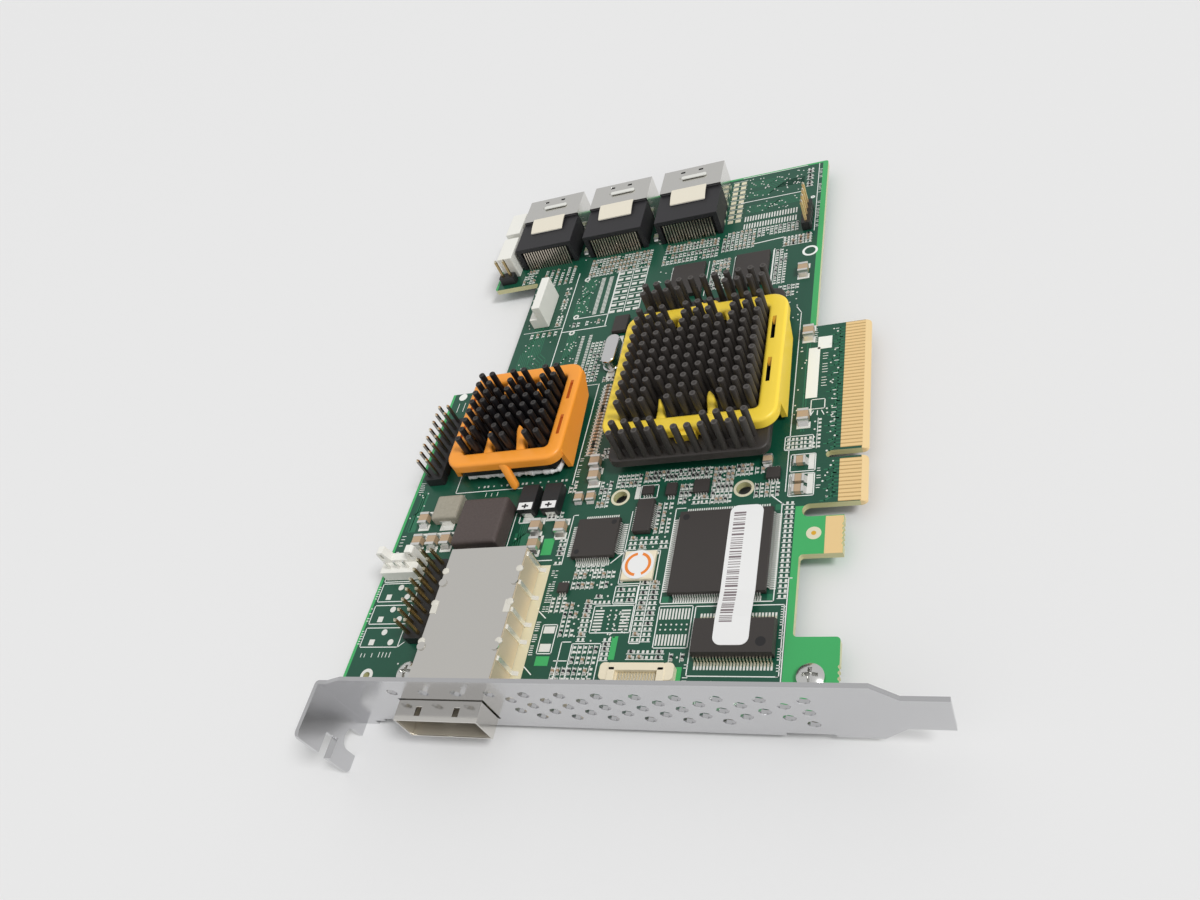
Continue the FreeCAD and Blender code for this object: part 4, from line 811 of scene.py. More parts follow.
def flatPacks():
    # Square packs with leads on all sides, and the small-outline package under the long label.
    for name, pack in quadPacks.items():
        shape = Shape()
        x, y = pack["middle"]
        half = pack["side"] / 2
        package(shape, x, y, pack["side"], pack["side"], 0.12, 1.5)
        leads(shape, x, y, (half - 0.04, half - 0.04), quadLead["reach"], pack["leads"], quadLead["pitch"],
              quadLead["width"], quadLead["shoulder"])
        radius, sides, top = pack["dot"]
        for a, b in pack["dots"]:
            shape.add(*prism(ring(radius, sides, x + a, y + b), 1.494, top), 2)
        make(name, shape, ["tin", "chip", "dotDarkAndSlotShade"], "chip_black", [pack["node"]], bevel=0.03)
        offsets = (np.arange(pack["leads"]) - (pack["leads"] - 1) / 2) * quadLead["pitch"]
        for far in (-half - quadLead["padFrom"], half + quadLead["padFrom"]):
            pads.pads([(x + far, y + d) for d in offsets], *quadLead["pad"])
            pads.pads([(x + d, y + far) for d in offsets], *quadLead["pad"][::-1])
    for x, y in ((72.3, 24.9), (93.6, 24.9), (93.6, 46.1)):  # corner squares of the large one
        copper.flat(x - 0.7, y - 0.7, x + 0.7, y + 0.7)

    shape = Shape()
    (x, y), (wide, long) = outlinePack["middle"], outlinePack["size"]
    package(shape, x, y, wide, long, 0.12, 2.5, waist=0.2)
    leads(shape, x, y, (wide / 2 - 0.05, long / 2 - 0.03), 1.45, outlinePack["leads"], outlinePack["pitch"], 0.3, 1.3,
          "ns", 0.18, 0.6)
    shape.add(*prism(ring(1.0, 20, *outlinePack["dot"]), 2.49, 2.505), 2)
    make("outlinePack", shape, ["paleTinAndPostHighlight", "chip", "dotDarkAndSlotShade"], "chip_black", ["outline_pack"], bevel=0.04)
    offsets = (np.arange(outlinePack["leads"]) - (outlinePack["leads"] - 1) / 2) * outlinePack["pitch"]
    for side in (-5.2, 5.2):
        pads.pads([(x + d, y + side) for d in offsets], 0.38, 1.5)


regulators = [  # x, y, width, length and height of the little square packages
    (76.4, 52.7, 3.4, 3.4, 0.9), (64.1, 52.6, 2.6, 2.2, 0.9), (69.6, 52.4, 2.3, 3.1, 1.0),
    (49.1, 28.1, 2.2, 2.2, 1.0), (91.9, 54.7, 2.9, 2.8, 1.0),
]


def smallPackages():
    # Leads of the narrow package and the little square ones, and their bodies.
    shape = Shape()
    leads(shape, 64.5, 45.4, (1.88, 4.3), 0.9, 13, 0.5, 0.22, 0.8, "ew")
    for x, y, wide, long, tall in regulators:
        shape.add(*box(x, y, 0.05, wide, long, tall - 0.05), 1)
        count = int(wide / 0.65)
        leads(shape, x, y, (wide / 2 - 0.03, long / 2 - 0.03), 0.55, count, 0.6, 0.26, 0.4, "ns", 0.1, 0.3)
        offsets = (np.arange(count) - (count - 1) / 2) * 0.6
        for far in (-long / 2 - 0.45, long / 2 + 0.45):
            pads.pads([(x + d, y + far) for d in offsets], 0.34, 0.7)
    make("smallPackages", shape, ["tin", "chip"], "chip_black", ["small_regulators"], bevel=0.04)


flatPacks()
smallPackages()
print("packages made")

# heatsinks and their clips


def pinSink(name, node, sink, gone):
    # A rounded plate, and a stepped outline turned round a vertical line at each pin: flared foot, straight shaft and
    # dished tip. The function gone says where no pin stands.
    x, y = sink["middle"]
    wide, long = sink["plate"]
    r, (columns, rows), (stepX, stepY) = sink["pin"], sink["count"], sink["step"]
    low, seat, top = sink["heights"]
    plate = Shape()
    plate.add(*prism(soft(rect(x - wide / 2, y - long / 2, x + wide / 2, y + long / 2), 2.4, 6), low, seat))
    make(name, plate, [sink["paint"]], "black_anodised", [node], bevel=0.45, segments=3)
    spots = [(x + (i - (columns - 1) / 2) * stepX, y + (k - (rows - 1) / 2) * stepY, 0)
             for k in range(rows) for i in range(columns) if not gone(i, k)]
    pins = Shape()
    shaft = [(r * 1.14, seat - 0.1), (r * 1.05, seat + 0.35), (r, seat + 1.2), (r, top - 0.2), (r * 0.86, top - 0.02)]
    pins.repeat(*lathe(shaft, 12), spots)
    # the tips take the lighter tip paint: a painted highlight on the pin tops
    tip = [(r * 0.86, top - 0.03), (r * 0.72, top + 0.02), (r * 0.5, top), (r * 0.4, top - 0.06)]
    pins.repeat(*lathe(tip, 12), spots, 1)
    make(name + "Pins", pins, [sink["paint"], sink["tipHighlight"]], "black_anodised", smooth=True)


# the tip paint, lighter than the pins' own, is a painted highlight on the pin tops
largeSink = {"middle": (73.0, 83.55), "plate": (37.0, 51.2), "heights": (2.6, 5.0, 13.4), "pin": 0.83,
             "count": (11, 17), "step": (3.0, 3.04), "paint": "anodised", "tipHighlight": "pinTopHighlight"}
smallSink = {"middle": (28.0, 73.9), "plate": (27.0, 29.2), "heights": (2.6, 5.0, 12.5), "pin": 0.8, "count": (8, 8),
             "step": (3.0, 3.0), "paint": "darkAnodised", "tipHighlight": "anodised"}
pinSink("largeHeatsink", "big_heatsink", largeSink,
        lambda i, k: k in (2, 14) or (k in (1, 15) and i in (4, 5, 6)) or (i in (3, 7) and k in (3, 4, 12, 13)))
pinSink("smallHeatsink", "small_heatsink", smallSink, lambda i, k: i in (2, 5) and k in (0, 1, 6, 7))


def sideStops(half, radius, stops):
    # One outline of the frame: stops up the right side, two quarter arcs, the stops down the left side, two more arcs.
    t = np.linspace(0, pi / 2, 8)
    runs = []
    for k, signs in enumerate(((1, 1), (-1, 1), (-1, -1), (1, -1))):
        if k in (0, 2):
            rows = stops if k == 0 else stops[::-1]
            runs.append(np.column_stack([np.full(len(rows), signs[0] * half[0]), rows]))
        turn = t + k * pi / 2
        corner = np.array(signs) * (np.array(half) - radius)
        runs.append(corner + radius * np.column_stack([np.cos(turn), np.sin(turn)]))
    return np.vstack(runs)


def clipFrame(shape, style):
    # The frame is a section carried round: inset and height of each row follow two quarter circles of the edge radius;
    # the slots are pockets let into the top row of the two side bars, each with a ramp beyond it. Pocket walls and
    # floors take the third paint and ramps the second: painted shade in the hollows.
    stops = np.array([stop for slot in style["slots"] for stop in slot])
    outer = sideStops(style["outer"], style["corner"], stops)
    inner = sideStops(style["inner"], style["innerCorner"], stops)
    across = inner - outer
    across /= np.linalg.norm(across, axis=1)[:, None]
    r, low, high = style["round"], style["low"], style["high"]
    a = np.linspace(0, pi / 2, 5)
    rise, inset = high - r + r * np.sin(a), r - r * np.cos(a)
    fromOuter = [(0.3, low), (0.0, low + 0.3), *zip(inset, rise), *((at, high) for at in style["slotAt"])]
    fromInner = [*zip(inset[::-1], rise[::-1]), (0.0, low + 0.3), (0.3, low)]
    rows = [level(outer + across * d, z) for d, z in fromOuter] + [level(inner - across * d, z) for d, z in fromInner]
    points = np.stack(rows, 1)
    n, m = points.shape[:2]
    left, right = 7, 8  # the two rows that bound the slots
    holes, extra, faces = set(), [], []
    count = n * m
    for side in (0, 1):
        for k in range(len(style["slots"])):
            first = 3 * k if side == 0 else 16 + 2 * len(stops) - 1 - 3 * k
            p0, p1, p2 = (first, first + 1, first + 2) if side == 0 else (first, first - 1, first - 2)
            holes |= {(min(p0, p1), left), (min(p1, p2), left)}
            top = {(p, row): p * m + row for p in (p0, p1, p2) for row in (left, right)}
            for p, z in ((p1, style["rampLow"]), (p0, style["floor"]), (p1, style["floor"])):
                for row in (left, right):
                    extra.append([*points[p, row, :2], z])
            r7, r8, a7, a8, b7, b8 = range(count, count + 6)
            count += 6
            # the pocket's walls and floor (paint 2) and its ramp (paint 1) are painted shade in the hollow
            faces += [([top[p0, 7], top[p1, 7], r7, b7, a7], 2), ([top[p0, 8], top[p1, 8], r8, b8, a8], 2),
                      ([top[p0, 7], top[p0, 8], a8, a7], 2), ([r7, r8, b8, b7], 2), ([a7, a8, b8, b7], 2),
                      ([r7, r8, top[p2, 8], top[p2, 7]], 1), ([top[p1, 7], top[p2, 7], r7], 1),
                      ([top[p1, 8], top[p2, 8], r8], 1)]
    faces += [([i * m + j, (i + 1) % n * m + j, (i + 1) % n * m + (j + 1) % m, i * m + (j + 1) % m], 0)
              for i in range(n) for j in range(m) if (i, j) not in holes]
    faces.sort(key=lambda pair: pair[1])
    shape.add(np.vstack([points.reshape(-1, 3), extra]) + (*style["middle"], 0), [face for face, tone in faces])
    shape.paints[:] = [tone for face, tone in faces]


def finger(shape, x, lean, root, tip, wide, end, low, crown, rise, blunt):
    # Sections across the finger: straight sides under a round crown. The width falls from the root as the crown climbs,
    # the line leans sideways, and a blunt finger rounds off.
    t = np.linspace(0, 1, 11)
    half = (wide + (end - wide) * t ** 0.75) / 2
    if blunt:
        half = half * np.sqrt(np.clip(1 - np.clip((t - 0.8) / 0.2, 0, 1) ** 2, 0.05, 1))
    top = crown + rise * t
    low = low + rise * 1.2 * t ** 2
    r = np.minimum(half * 0.9, 0.7)
    a = np.linspace(0, pi, 9)
    px = (half - r)[:, None] * np.sign(np.cos(a) + 1e-9) + r[:, None] * np.cos(a)
    pz = (top - r)[:, None] + r[:, None] * np.sin(a)
    px = np.hstack([half[:, None], px, -half[:, None]]) + lean * t[:, None]
    pz = np.hstack([low[:, None], pz, low[:, None]])
    py = np.repeat((root + (tip - root) * t)[:, None], px.shape[1], 1)
    shape.add(*tube(np.stack([px + x, py, pz], -1)))


def skirtPlate(shape, side, style):
    # A side skirt: its outline in (y, z) pushed through a thickness, and leaned outwards as it falls.
    x, y = style["middle"]
    outline = np.array(style["skirt"])
    out = style["outer"][0] - 0.12 + (style["high"] - outline[:, 1]) * style["lean"]
    points = [np.column_stack([x + side * (out - inward), y + outline[:, 0], outline[:, 1]]) for inward in (1.3, 0.0)]
    shape.add(*tube(points))


def slantedArm(shape, start, end, wide, thick):
    # A bar with rounded edges along a slant, its last sections drawn in to a round tip.
    start, end = np.array(start), np.array(end)
    along = end - start
    direction = along / np.linalg.norm(along)
    across = np.array([1.0, 0, 0]) - direction * direction[0]
    across /= np.linalg.norm(across)
    out = np.cross(direction, across)
    a = np.arange(12) / 12 * tau
    u, v = (np.sign(w) * np.abs(w) ** 0.5 * size / 2 for w, size in ((np.cos(a), wide), (np.sin(a), thick)))
    sections = ((0, 1), (0.86, 1), (0.93, 0.88), (0.975, 0.6), (1.0, 0.2))  # how far along, share of the width
    shape.add(*tube([start + along * t + across * (u * share)[:, None] + out * v[:, None] for t, share in sections]))


# paints: the clip's colour, then painted shade for the slot ramps, then painted shade for the slot walls and floors
largeClip = {"node": "big_clip", "slot": "yellow_clip", "paints": ["yellow", "targetYellowAndRampShade", "dotDarkAndSlotShade"],
             "middle": (73.0, 83.55), "outer": (20.45, 20.3), "inner": (16.05, 16.2), "corner": 4.4, "innerCorner": 1.0,
             "low": 5.0, "high": 7.9, "round": 0.75, "slotAt": (2.35, 3.25), "floor": 5.4, "rampLow": 6.7,
             "lean": 0.085, "slots": [(-8.9, -3.1, -1.5), (4.6, 10.4, 12.0)],
             "skirt": [(-13.8, 1.0), (-12.9, 1.0), (9.6, 2.2), (13.8, 6.4), (13.8, 7.3), (-13.0, 7.3), (-13.8, 6.6)],
             # fingers: place along the bar, lean, reach, rise, width at the root and at the end, blunt or pointed
             "fingers": [(-6.0, -0.7, 4.8, 1.3, 3.2, 0.5, False), (6.0, -0.9, 5.2, 1.5, 2.3, 1.8, True)],
             # a tab beyond each end bar: half width, distance, half depth; slanted arms: start, end, width, thickness
             "tabs": [(2.6, 20.6, 0.9)],
             "arms": [((a, 21.0, 7.2), (a, 21.9, 5.1), 1.3, 1.0) for a in (-1.7, 1.7)]}
# the small clip's second and third paints are painted shade as well
smallClip = {"node": "small_clip", "slot": "orange_clip", "paints": ["orange", "orangeSlotShade", "orangeSlotShade"],
             "middle": (28.0, 73.9), "outer": (15.4, 15.4), "inner": (11.5, 11.55), "corner": 3.9, "innerCorner": 0.9,
             "low": 5.0, "high": 7.9, "round": 0.8, "slotAt": (1.5, 2.3), "floor": 7.1, "rampLow": 7.5,
             "lean": 0.085, "slots": [(-8.2, -2.6, -2.1), (3.0, 8.6, 9.1)],
             "skirt": [(-12.8, 1.0), (-11.9, 1.0), (8.8, 2.4), (12.8, 6.4), (12.8, 7.3), (-12.0, 7.3), (-12.8, 6.6)],
             "fingers": [(-4.5, -0.5, 5.8, 1.2, 3.0, 0.6, False), (4.5, -0.9, 5.9, 2.0, 2.5, 1.9, True)],
             "tabs": [], "arms": [((-0.1, 14.6, 7.0), (-2.2, 17.9, 0.9), 2.1, 1.4)]}


def springClip(name, style):
    # The frame, then its fingers, skirts, tabs and arms; the far bar's ones are the near bar's turned half round.
    x, y = style["middle"]
    frameShape, arms = Shape(), Shape()
    clipFrame(frameShape, style)
    make(name, frameShape, style["paints"], style["slot"], [style["node"]], smooth=True, outwards=True)
    for along, lean, reach, rise, wide, end, blunt in style["fingers"]:
        for s in (-1, 1):
            root, tip = y + s * (style["inner"][1] + 0.9), y + s * (style["inner"][1] - reach)
            finger(arms, x - s * along, -s * lean, root, tip, wide, end, 5.2, style["high"] - 0.4, rise, blunt)
    for s in (-1, 1):
        skirtPlate(arms, s, style)
    for s in (-1, 1):
        for half, out, deep in style["tabs"]:
            arms.add(*prism(rect(x - half, y + s * out - deep, x + half, y + s * out + deep), 5.0, 7.0))
        for start, end, wide, thick in style["arms"]:
            ends = [(x + s * a, y + s * b, z) for a, b, z in (start, end)]
            slantedArm(arms, *ends, wide, thick)
    make(name + "Arms", arms, style["paints"][:1], style["slot"], bevel=0.18, segments=2, smooth=True, outwards=True)


springClip("largeClip", largeClip)
springClip("smallClip", smallClip)

pasteBead = {"stations": 72, "sides": 10, "radius": 0.50, "waver": [(0.14, 41, 0), (0.09, 97, 1), (0.06, 173, 0)],
             "x": [15.9, 40.0, 40.9, 41.0], "y": [60.2, 59.6, 60.2, 63.4], "at": [0, 0.88, 0.93, 1], "z": 1.75}


def thermalPaste():
    # A bead of squeezed-out paste along the small chip's near and right edges: a tube whose radius wavers.
    n = pasteBead["stations"]
    t = np.linspace(0, 1, n)
    path = level(np.column_stack([np.interp(t, pasteBead["at"], pasteBead[key]) for key in "xy"]), pasteBead["z"])
    size = pasteBead["radius"] + sum(depth * np.sin(t * speed + start) for depth, speed, start in pasteBead["waver"])
    size[[0, -1]] = 0.1
    run = np.gradient(path, axis=0)
    run /= np.linalg.norm(run, axis=1)[:, None]
    side = level(np.column_stack([run[:, 1], -run[:, 0]]), 0)
    a = (np.arange(pasteBead["sides"]) / pasteBead["sides"] * tau)[None, :, None]
    section = np.cos(a) * side[:, None] * 1.1 + np.sin(a) * np.array([0, 0, 1.25])
    shape = Shape()
    shape.add(*tube(path[:, None] + size[:, None, None] * section))
    make("thermalPaste", shape, ["paste"], "label_paper", smooth=True, outwards=True)


thermalPaste()
print("heatsinks made")

# larger two-ended parts

ceramics = {
    "large": [(7.3, 42.1), (11.3, 42.1), (15.2, 42.1), (6.8, 48.6), (38.4, 44.5), (39.1, 39.5), (44.8, 43.8),
              (49.4, 62.0), (50.0, 57.8), (94.3, 119.6), (97.0, 96.2), (97.3, 69.6)],
    "middling": [(47.3, 52.0), (50.3, 52.0), (90.4, 58.4)],
    "turned": [(97.3, 57.4), (97.3, 52.6), (97.3, 49.9)],
}
tantalums = {"x": (35.3, 41.3), "y": 51.4, "size": (4.2, 7.2, 2.75)}


def twoEnded():
    # Ceramic and tantalum capacitors with their metal ends, and the lamps by the internal ports.
    large = Parts()
    large.place(ceramics["large"], 2.5, 3.2, 1.85, tanBody)
    large.place(ceramics["middling"], 2.0, 2.5, 1.25, tanBody)
    large.place(ceramics["turned"], 2.0, 2.5, 1.25, tanBody, turned=True)
    pads.pads([(x, y + s * 1.9) for x, y in ceramics["large"] for s in (-1, 1)], 3.0, 1.8)
    make("ceramicCapacitors", large.shape, ["tin", "capTan"], "capacitor_tan", ["ceramic_capacitors"], bevel=0.08)

    block, y = Shape(), tantalums["y"]
    wide, long, tall = tantalums["size"]
    for x in tantalums["x"]:
        block.add(*box(x, y, 0.15, wide, long, tall), 0)
        block.add(*box(x, y - 2.5, 2.86, 3.6, 2.0, 0.07), 1)  # the pale band, and a plus sign on it
        block.add(*box(x, y - 2.55, 2.9, 1.7, 0.45, 0.05), 0)
        block.add(*box(x, y - 2.55, 2.9, 0.45, 1.3, 0.055), 0)
        for side in (-1, 1):
            block.add(*box(x, y + side * 3.62, 0.1, 2.4, 0.25, 1.4), 2)
            pads.pads([(x, y + side * 4.0)], 2.6, 2.2)
    make("tantalumCapacitors", block, ["black", "paper", "tin"], "tantalum_black", ["tantalum_capacitors"],
         bevel=0.12)

    lamps = Parts()
    lamps.place([(x, y) for x in (28.4, 50.5) for y in (145.5, 150, 154.5, 159)], 1.4, 2.2, 0.85, 1)
    make("statusLights", lamps.shape, ["tin", "lampBody"], "lamp_white", ["status_lights"], bevel=0.06)
    small.place([(x, y) for x in (68.0, 70.2) for y in (146.6, 150.6, 154.6, 158.6, 162.6)], 1.0, 1.6, 0.6, lensBody)


twoEnded()


def darkBlock():
    # A low dark package between the large heatsink and the far packages.
    shape = Shape()
    package(shape, 46.5, 109.5, 4.2, 6.2, 0.1, 1.3, tone=0)
    make("darkBlock", shape, ["chip"], "chip_black", bevel=0.08)


darkBlock()

cage = {"x": 32.45, "wall": 9.45, "straps": (8.5, 15.5, 19.5, 26.0, 33.0), "springs": (12.0, 21.0, 29.0),
        # how far out from the wall and how high a strap's folds are; radius and height of a spring's steps
        "fold": [(0.1, 6.9), (0.5, 6.6), (0.42, 0.5), (1.7, 0.08), (1.7, 0.02), (0.1, 0.02)],
        "spring": [(0.55, 6.95), (0.9, 7.2), (0.78, 7.45), (0.35, 7.6)]}


def cageDress():
    # Pale side plates, painted light on the lit walls; folded straps, small spring tabs on the top edges and a top tab
    # in a near-white paint, painted highlights; and a bright lining in the mouth, painted light where the mouth is lit.
    straps, lightSheet = Shape(), Shape()
    # the lining is a pale sheet on the mouth's floor and sides: painted light inside the mouth
    lightSheet.add(*box(cage["x"], -2.2, 0.34, 17.9, 5.6, 0.12))
    for side in (-1, 1):
        wall = cage["x"] + side * cage["wall"]
        # paint 1: a thin pale plate on each wall, painted light on the lit side walls; paint 0 (straps, springs, top
        # tab): painted highlights
        straps.add(*box(wall + side * 0.06, 17.4, 0.35, 0.12, 33.6, 6.75), 1)
        for y in cage["straps"]:
            straps.add(*sweep([(wall + side * out, z) for out, z in cage["fold"]], (y - 0.5, y + 0.5), "y"))
        for y in cage["springs"]:
            straps.add(*lathe(cage["spring"], 12, wall - side * 0.3, y))
        straps.add(*box(wall - side * 0.6, 20.0, 7.2, 1.5, 3.0, 0.2))
        lightSheet.add(*box(cage["x"] + side * 9.05, -2.2, 0.34, 0.12, 5.6, 6.5))
    make("cageStraps", straps, ["cageHighlight", "litCageSide"], "cage_steel", bevel=0.05, outwards=True)
    make("mouthLightSheet", lightSheet, ["mouthLight"], "cage_steel")


cageDress()

tongue = {"firstX": 17.3, "step": 22.15, "half": 5.15, "y": (148.6, 5.6), "top": 8.86, "drop": 0.9, "thick": 0.28,
          "bar": (-3.0, 158.85, 4.4, 160.15), "barHeights": (8.5, 8.85)}


def portTongues():
    # The latch plate of each internal port: an arc in (y, z) with a thickness, and a raised bar behind it. The plate's
    # cream paint and the bar's bright tin paint are painted highlights.
    shape = Shape()
    t = np.linspace(0, 1, 8)
    y = tongue["y"][0] + tongue["y"][1] * t
    z = tongue["top"] - tongue["drop"] * (1 - t) ** 2
    profile = [*zip(y, z), *zip(y[::-1], z[::-1] - tongue["thick"])]
    x0, y0, x1, y1 = tongue["bar"]
    for k in range(3):
        x = tongue["firstX"] + tongue["step"] * k
        shape.add(*sweep(profile, (x - tongue["half"], x + tongue["half"])))
        shape.add(*prism(soft(rect(x + x0, y0, x + x1, y1), 0.5, 4), *tongue["barHeights"]), 1)
    make("portTongues", shape, ["tongue", "padTinAndBarHighlight"], "shell_steel", bevel=0.08, outwards=True)


portTongues()

coils = [  # x, y, width, length and height, then how far out its pads lie and their size
    (25.5, 44.4, 11.8, 12.6, 5.0, 6.9, 6.0, 1.6), (13.5, 50.6, 7.0, 6.8, 3.0, 4.1, 3.8, 2.0),
]


def coilEnds():
    # Folded metal terminals at the ends of the two moulded coils, with pads under them and under the crystal.
    shape = Shape()
    for x, y, wide, long, tall, out, padWide, padLong in coils:
        for side in (-1, 1):
            shape.add(*box(x, y + side * (long / 2 + 0.08), 0.05, wide * 0.45, 0.3, tall * 0.5))
            pads.pads([(x, y + side * out)], padWide, padLong)
    pads.pads([(46.8, 97.7 - 6.4), (46.8, 97.7 + 6.4)], 2.2, 3.0)
    make("coilEnds", shape, ["tin"], "tin_leads", bevel=0.05)


coilEnds()

# the bracket's screws, the crystal's can and the flat cable's socket

screw = {"at": [(17.1, 8.2, 0), (102.2, 8.2, 0)], "crown": 1.75, "fall": 0.13, "radius": 2.35,
         "rim": [2.5, 2.55, 2.55], "cross": (0.36, 0.06, 1.45, 0.95),  # half width, narrowing, reach and depth
         "shank": [(1.2, -3.2), (1.5, -2.9), (1.5, 0.0)]}


def screwHeads():
    # A low dome over polar steps: height falls as the square of the radius, less a cross whose arms narrow outwards.
    r = np.concatenate([np.linspace(0.06, screw["radius"], 19), screw["rim"]])
    rr, tt = np.meshgrid(r, np.arange(72) / 72 * tau, indexing="ij")
    px, py = rr * np.cos(tt), rr * np.sin(tt)
    arm, reach = np.minimum(np.abs(px), np.abs(py)), np.maximum(np.abs(px), np.abs(py))
    half, narrowing, length, depth = screw["cross"]
    sunk = np.clip((half - narrowing * reach - arm) / 0.1, 0, 1) * np.clip((length - reach) / 0.12, 0, 1)
    pz = screw["crown"] - screw["fall"] * rr ** 2 - depth * sunk
    pz[-2], pz[-1] = 0.55, 0.02
    shape = Shape()
    shape.repeat(*tube(np.stack([px, py, pz], -1)), screw["at"])
    shape.repeat(*lathe(screw["shank"], 24), screw["at"])
    make("bracketScrews", shape, ["screw"], "screw_steel", ["bracket_screws"], smooth=True, outwards=True)


crystal = {"middle": (46.8, 97.7), "half": (2.15, 5.4), "flange": [(0.15, 0.3), (0.15, 0.75)], "drawn": 0.2,
           "from": 0.8, "shoulder": 3.1, "round": 0.6}


def crystalCan():
    # A stadium outline pushed up with its top drawn in along a quarter circle, over a wider flange.
    (x, y), (a, b) = crystal["middle"], crystal["half"]
    t = np.linspace(0, pi, 17)

    def stadium(wide, long):
        arc = np.column_stack([wide * np.cos(t), long - wide + wide * np.sin(t)])
        return np.vstack([arc, -arc]) + (x, y)

    top, r = crystal["shoulder"], crystal["round"]
    steps = [*crystal["flange"], (-crystal["drawn"], crystal["from"]), (-crystal["drawn"], top)]
    steps += [(-crystal["drawn"] - r * (1 - cos(q)), top + r * sin(q)) for q in (pi / 8, pi / 4, 3 * pi / 8, pi / 2)]
    shape = Shape()
    shape.add(*tube([level(stadium(a + grow, b + grow), z) for grow, z in steps]))
    make("crystalCan", shape, ["can"], "crystal_steel", ["crystal_can"], smooth=True, outwards=True)


socket = {"corners": (62.0, 77.1, 5.1, 10.3), "base": 0.9, "wall": 1.9, "lug": 1.75, "tongues": 13, "tails": 16}


def cableSocket():
    # The flat cable's socket: a base, a raised back wall, two rounded end lugs and bright tongues in the recess.
    shape = Shape()
    x0, x1, y0, y1 = socket["corners"]

    def block(corners, radius, count, height):
        shape.add(*prism(soft(rect(*corners), radius, count), 0.0, height))

    block((x0 + 0.9, y0, x1 - 0.9, y1 - 0.3), 0.3, 3, socket["base"])
    block((x0 + 1.9, y1 - 1.7, x1 - 1.9, y1 - 0.1), 0.3, 3, socket["wall"])
    for sign, x in ((-1, x0 + 1.2), (1, x1 - 1.2)):
        inner = x - sign * 1.3
        block((x - 1.2, y0 + 1.6, x + 1.2, y1), 0.9, 5, socket["lug"])
        block((inner - 0.75, y0, inner + 0.75, y1 - 1.0), 0.3, 3, socket["wall"])
    places = [[(x, 0, 0) for x in np.linspace(x0 + inset, x1 - inset, count)]
              for inset, count in ((3.9, socket["tongues"]), (3.0, socket["tails"]))]
    shape.repeat(*box(0, y0 + 2.2, 0.85, 0.34, 3.0, 0.35), places[0], 1)
    shape.repeat(*box(0, y1 + 0.1, 0.03, 0.3, 1.0, 0.25), places[1], 2)
    make("cableSocket", shape, ["cream", "paleTinAndPostHighlight", "tin"], "socket_cream", ["cable_socket"], bevel=0.1)


screwHeads()
crystalCan()
cableSocket()

# labels

longLabel = {"corners": (84.05, 90.95, 13.4, 46.0), "corner": 1.7, "creases": (19.35, 25.5), "heights": (2.5, 1.5),
             "thick": 0.12, "bars": (84.9, 87.4, 18.2, 44.2)}
roundLabel = {"middle": (65.4, 32.9), "radius": 3.5, "arcs": ((-65, 75), (100, 262)), "band": (2.9, 2.25)}


def labels():
    # The long label: flat on the tall package, sloping between its creases, flat on the low one, with a row of bars;
    # and the round one with two arcs.
    shape = Shape()
    x0, x1, y0, y1 = longLabel["corners"]
    near, far = longLabel["creases"]

    def height(y):
        return np.interp(y, longLabel["creases"], longLabel["heights"])

    edge = np.vstack([soft(rect(x0, y0, x1, y1), longLabel["corner"], 8), rect(x0, near, x1, far)])
    # bands between the creases are outlines of their own, put in order by angle, so that each is one flat sheet
    for low, high in ((y0, near), (near, far), (far, y1)):
        inside = edge[(edge[:, 1] >= low - 1e-6) & (edge[:, 1] <= high + 1e-6)]
        angle = np.arctan2(inside[:, 1] - (low + high) / 2, inside[:, 0] - (x0 + x1) / 2)
        band = inside[np.argsort(angle)]
        shape.add(*tube([np.column_stack([band, height(band[:, 1]) + lift]) for lift in (0.004, longLabel["thick"])]))
    left, right, y, last = longLabel["bars"]
    while y < last:
        thick = rng.choice([0.18, 0.18, 0.3, 0.46])
        bar = rect(left, y, right, y + thick)
        z = height(np.array(bar)[:, 1]) + longLabel["thick"] - 0.005
        shape.add(*tube([np.column_stack([bar, z + lift]) for lift in (0, 0.014)]), 1)
        y += thick + rng.choice([0.2, 0.2, 0.34, 0.5])
    make("longLabel", shape, ["paper", "greyInk"], "label_paper", ["long_label"])

    disc = Shape()
    x, y = roundLabel["middle"]
    disc.add(*prism(ring(roundLabel["radius"], 48, x, y), 1.004, 1.12))
    for first, last in roundLabel["arcs"]:
        arc = np.linspace(radians(first), radians(last), 30)
        outer, inner = (np.column_stack([x + r * np.cos(arc), y + r * np.sin(arc)]) for r in roundLabel["band"])
        disc.add(*prism(np.vstack([outer, inner[::-1]]), 1.1, 1.135), 1)
    make("roundLabel", disc, ["paper", "orangeInk"], "label_paper", ["round_label"])


labels()

# header and connector posts

post = {"pitch": 2.54, "half": 0.32, "foot": 2.5, "taper": 0.5, "tipShare": 0.45}
postBanks = [  # name, node, paint, slot, middle x and y, posts across and along, height of the tip
    ("leftPosts", "left_header_posts", "greyPost", "tin_leads", 5.9, 69.8, 2, 8, 9.0),
    ("nearPosts", "near_header_posts", "brass", "brass_posts", 16.6, 25.5, 2, 8, 8.6),
    ("jumperPosts", "jumper_header_posts", "brass", "brass_posts", 4.4, 137.6, 2, 1, 8.5),
    ("edgePosts", "edge_header_posts", "gold", "brass_posts", 94.2, 141.4, 1, 4, 8.8),
]


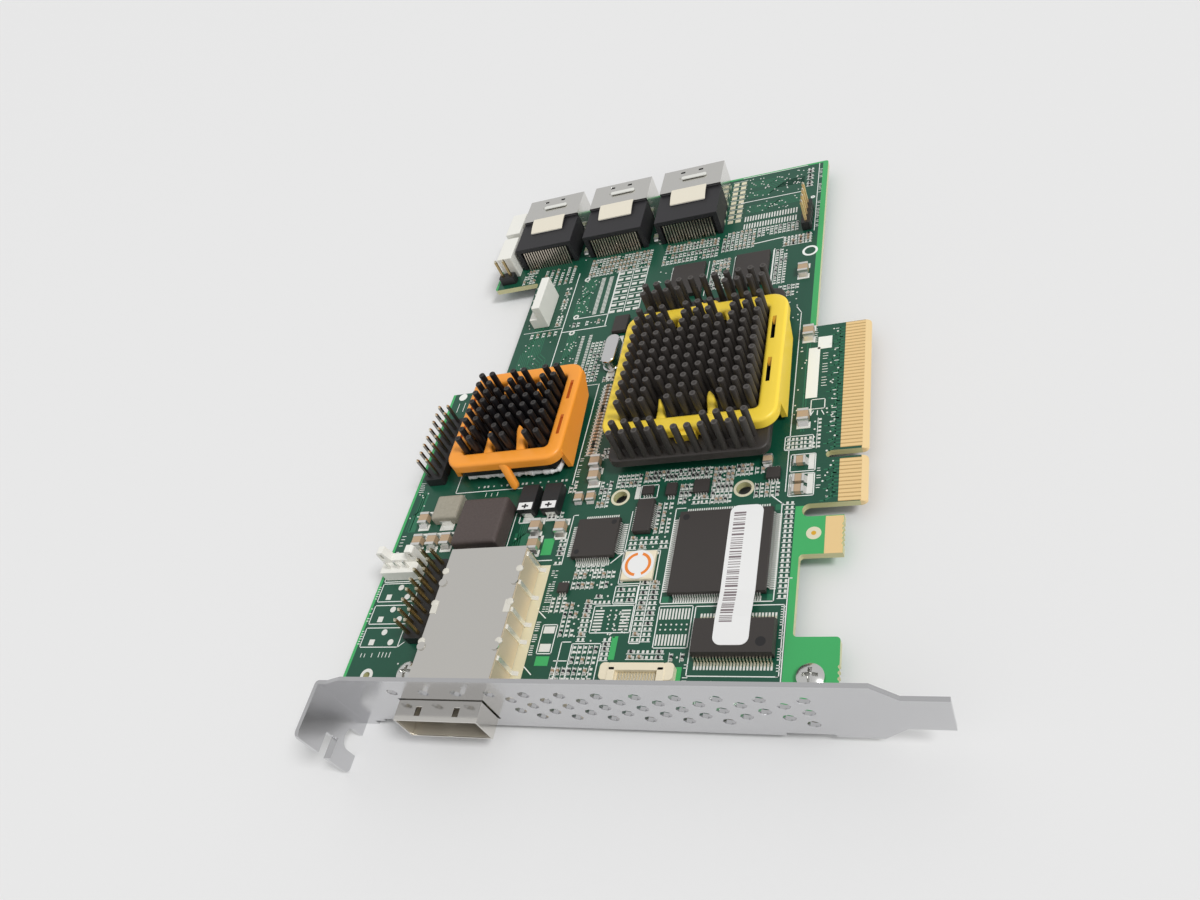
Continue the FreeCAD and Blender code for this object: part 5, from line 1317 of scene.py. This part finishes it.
def posts():
    # Square posts with pyramid tips, in rows and columns about a middle. The tips take the pale tin paint, a painted
    # highlight.
    corner = post["half"] * 2 ** 0.5
    spin = np.array([[cos(pi / 4), -sin(pi / 4), 0], [sin(pi / 4), cos(pi / 4), 0], [0, 0, 1]])
    for name, node, key, slotName, x, y, across, along, tip in postBanks:
        spots = [(x + (i - (across - 1) / 2) * post["pitch"], y + (k - (along - 1) / 2) * post["pitch"], 0)
                 for i in range(across) for k in range(along)]
        shape = Shape()
        steps = [(corner, post["foot"]), (corner, tip - post["taper"]), (corner * post["tipShare"], tip)]
        # paint 1, the pale tin on the pyramid tips, is a painted highlight
        for tone in (0, 1):
            points, faces = lathe(steps[tone:tone + 2], 4)
            shape.repeat(points @ spin.T, faces, spots, tone)
        make(name, shape, [key, "paleTinAndPostHighlight"], slotName, [node])
        pads.dots([spot[:2] for spot in spots], 0.95, 12)


posts()

make("silkPrint", silk.shape, ["silk"], "label_paper")
make("solderPads", pads.shape, ["padTinAndBarHighlight", "paleGold", "bareMask"], "tin_leads")
make("copperTracks", copper.shape, ["trace"], "board_green")
make("smallParts", small.shape, ["tin", "tan", "resistor", "lamp"], "capacitor_tan")

# floor, light and camera

studioStyle = {"floorReach": 12.0, "floor": (0.82, 0.82, 0.82), "surround": 0.62, "sun": 1.5, "sunAngle": 16,
               "sunFrom": (-0.62, 0.15, -0.77)}
viewpoint = {"lens": 27.74, "eye": (137.12, -66.82, 149.43), "ahead": (-0.402, 0.6091, -0.6836),
             "right": (0.9114, 0.1939, -0.3631)}


def studio():
    # A wide pale floor, an even surround and one broad sun from the right.
    low, reach = cadBounds[0].z, studioStyle["floorReach"]
    floor = bpy.data.meshes.new("floor")
    floor.from_pydata(level(rect(-reach, -reach, reach, reach), low).tolist(), [], [[0, 1, 2, 3]])
    floor.materials.append(material("floorPaint", studioStyle["floor"], 0.8, spec=0.2))
    ground = bpy.data.objects.new("floor", floor)
    bpy.context.scene.collection.objects.link(ground)

    world = bpy.data.worlds.new("surround")
    bpy.context.scene.world = world
    world.use_nodes = True
    back = world.node_tree.nodes["Background"]
    back.inputs["Color"].default_value = (1, 1, 1, 1)
    back.inputs["Strength"].default_value = studioStyle["surround"]

    sun = bpy.data.lights.new("keyLight", "SUN")
    sun.energy, sun.angle = studioStyle["sun"], radians(studioStyle["sunAngle"])
    key = bpy.data.objects.new("keyLight", sun)
    key.rotation_mode = "QUATERNION"
    key.rotation_quaternion = Vector(studioStyle["sunFrom"]).to_track_quat("-Z", "Y")
    bpy.context.scene.collection.objects.link(key)


def camera():
    # A hand-held close-up from the bracket's right end, looking down and left.
    data = bpy.data.cameras.new("camera")
    data.lens, data.sensor_width = viewpoint["lens"], 36.0
    data.clip_start, data.clip_end = 0.01, 20
    eye = bpy.data.objects.new("camera", data)
    ahead, right = Vector(viewpoint["ahead"]), Vector(viewpoint["right"])
    turn = Matrix((right, right.cross(ahead), -ahead)).transposed()
    eye.matrix_world = Matrix.Translation(Vector(viewpoint["eye"]) * mm) @ turn.to_4x4()
    bpy.context.scene.collection.objects.link(eye)
    bpy.context.scene.camera = eye


studio()
camera()
bpy.context.scene.view_settings.view_transform = "Standard"
print("studio ready")
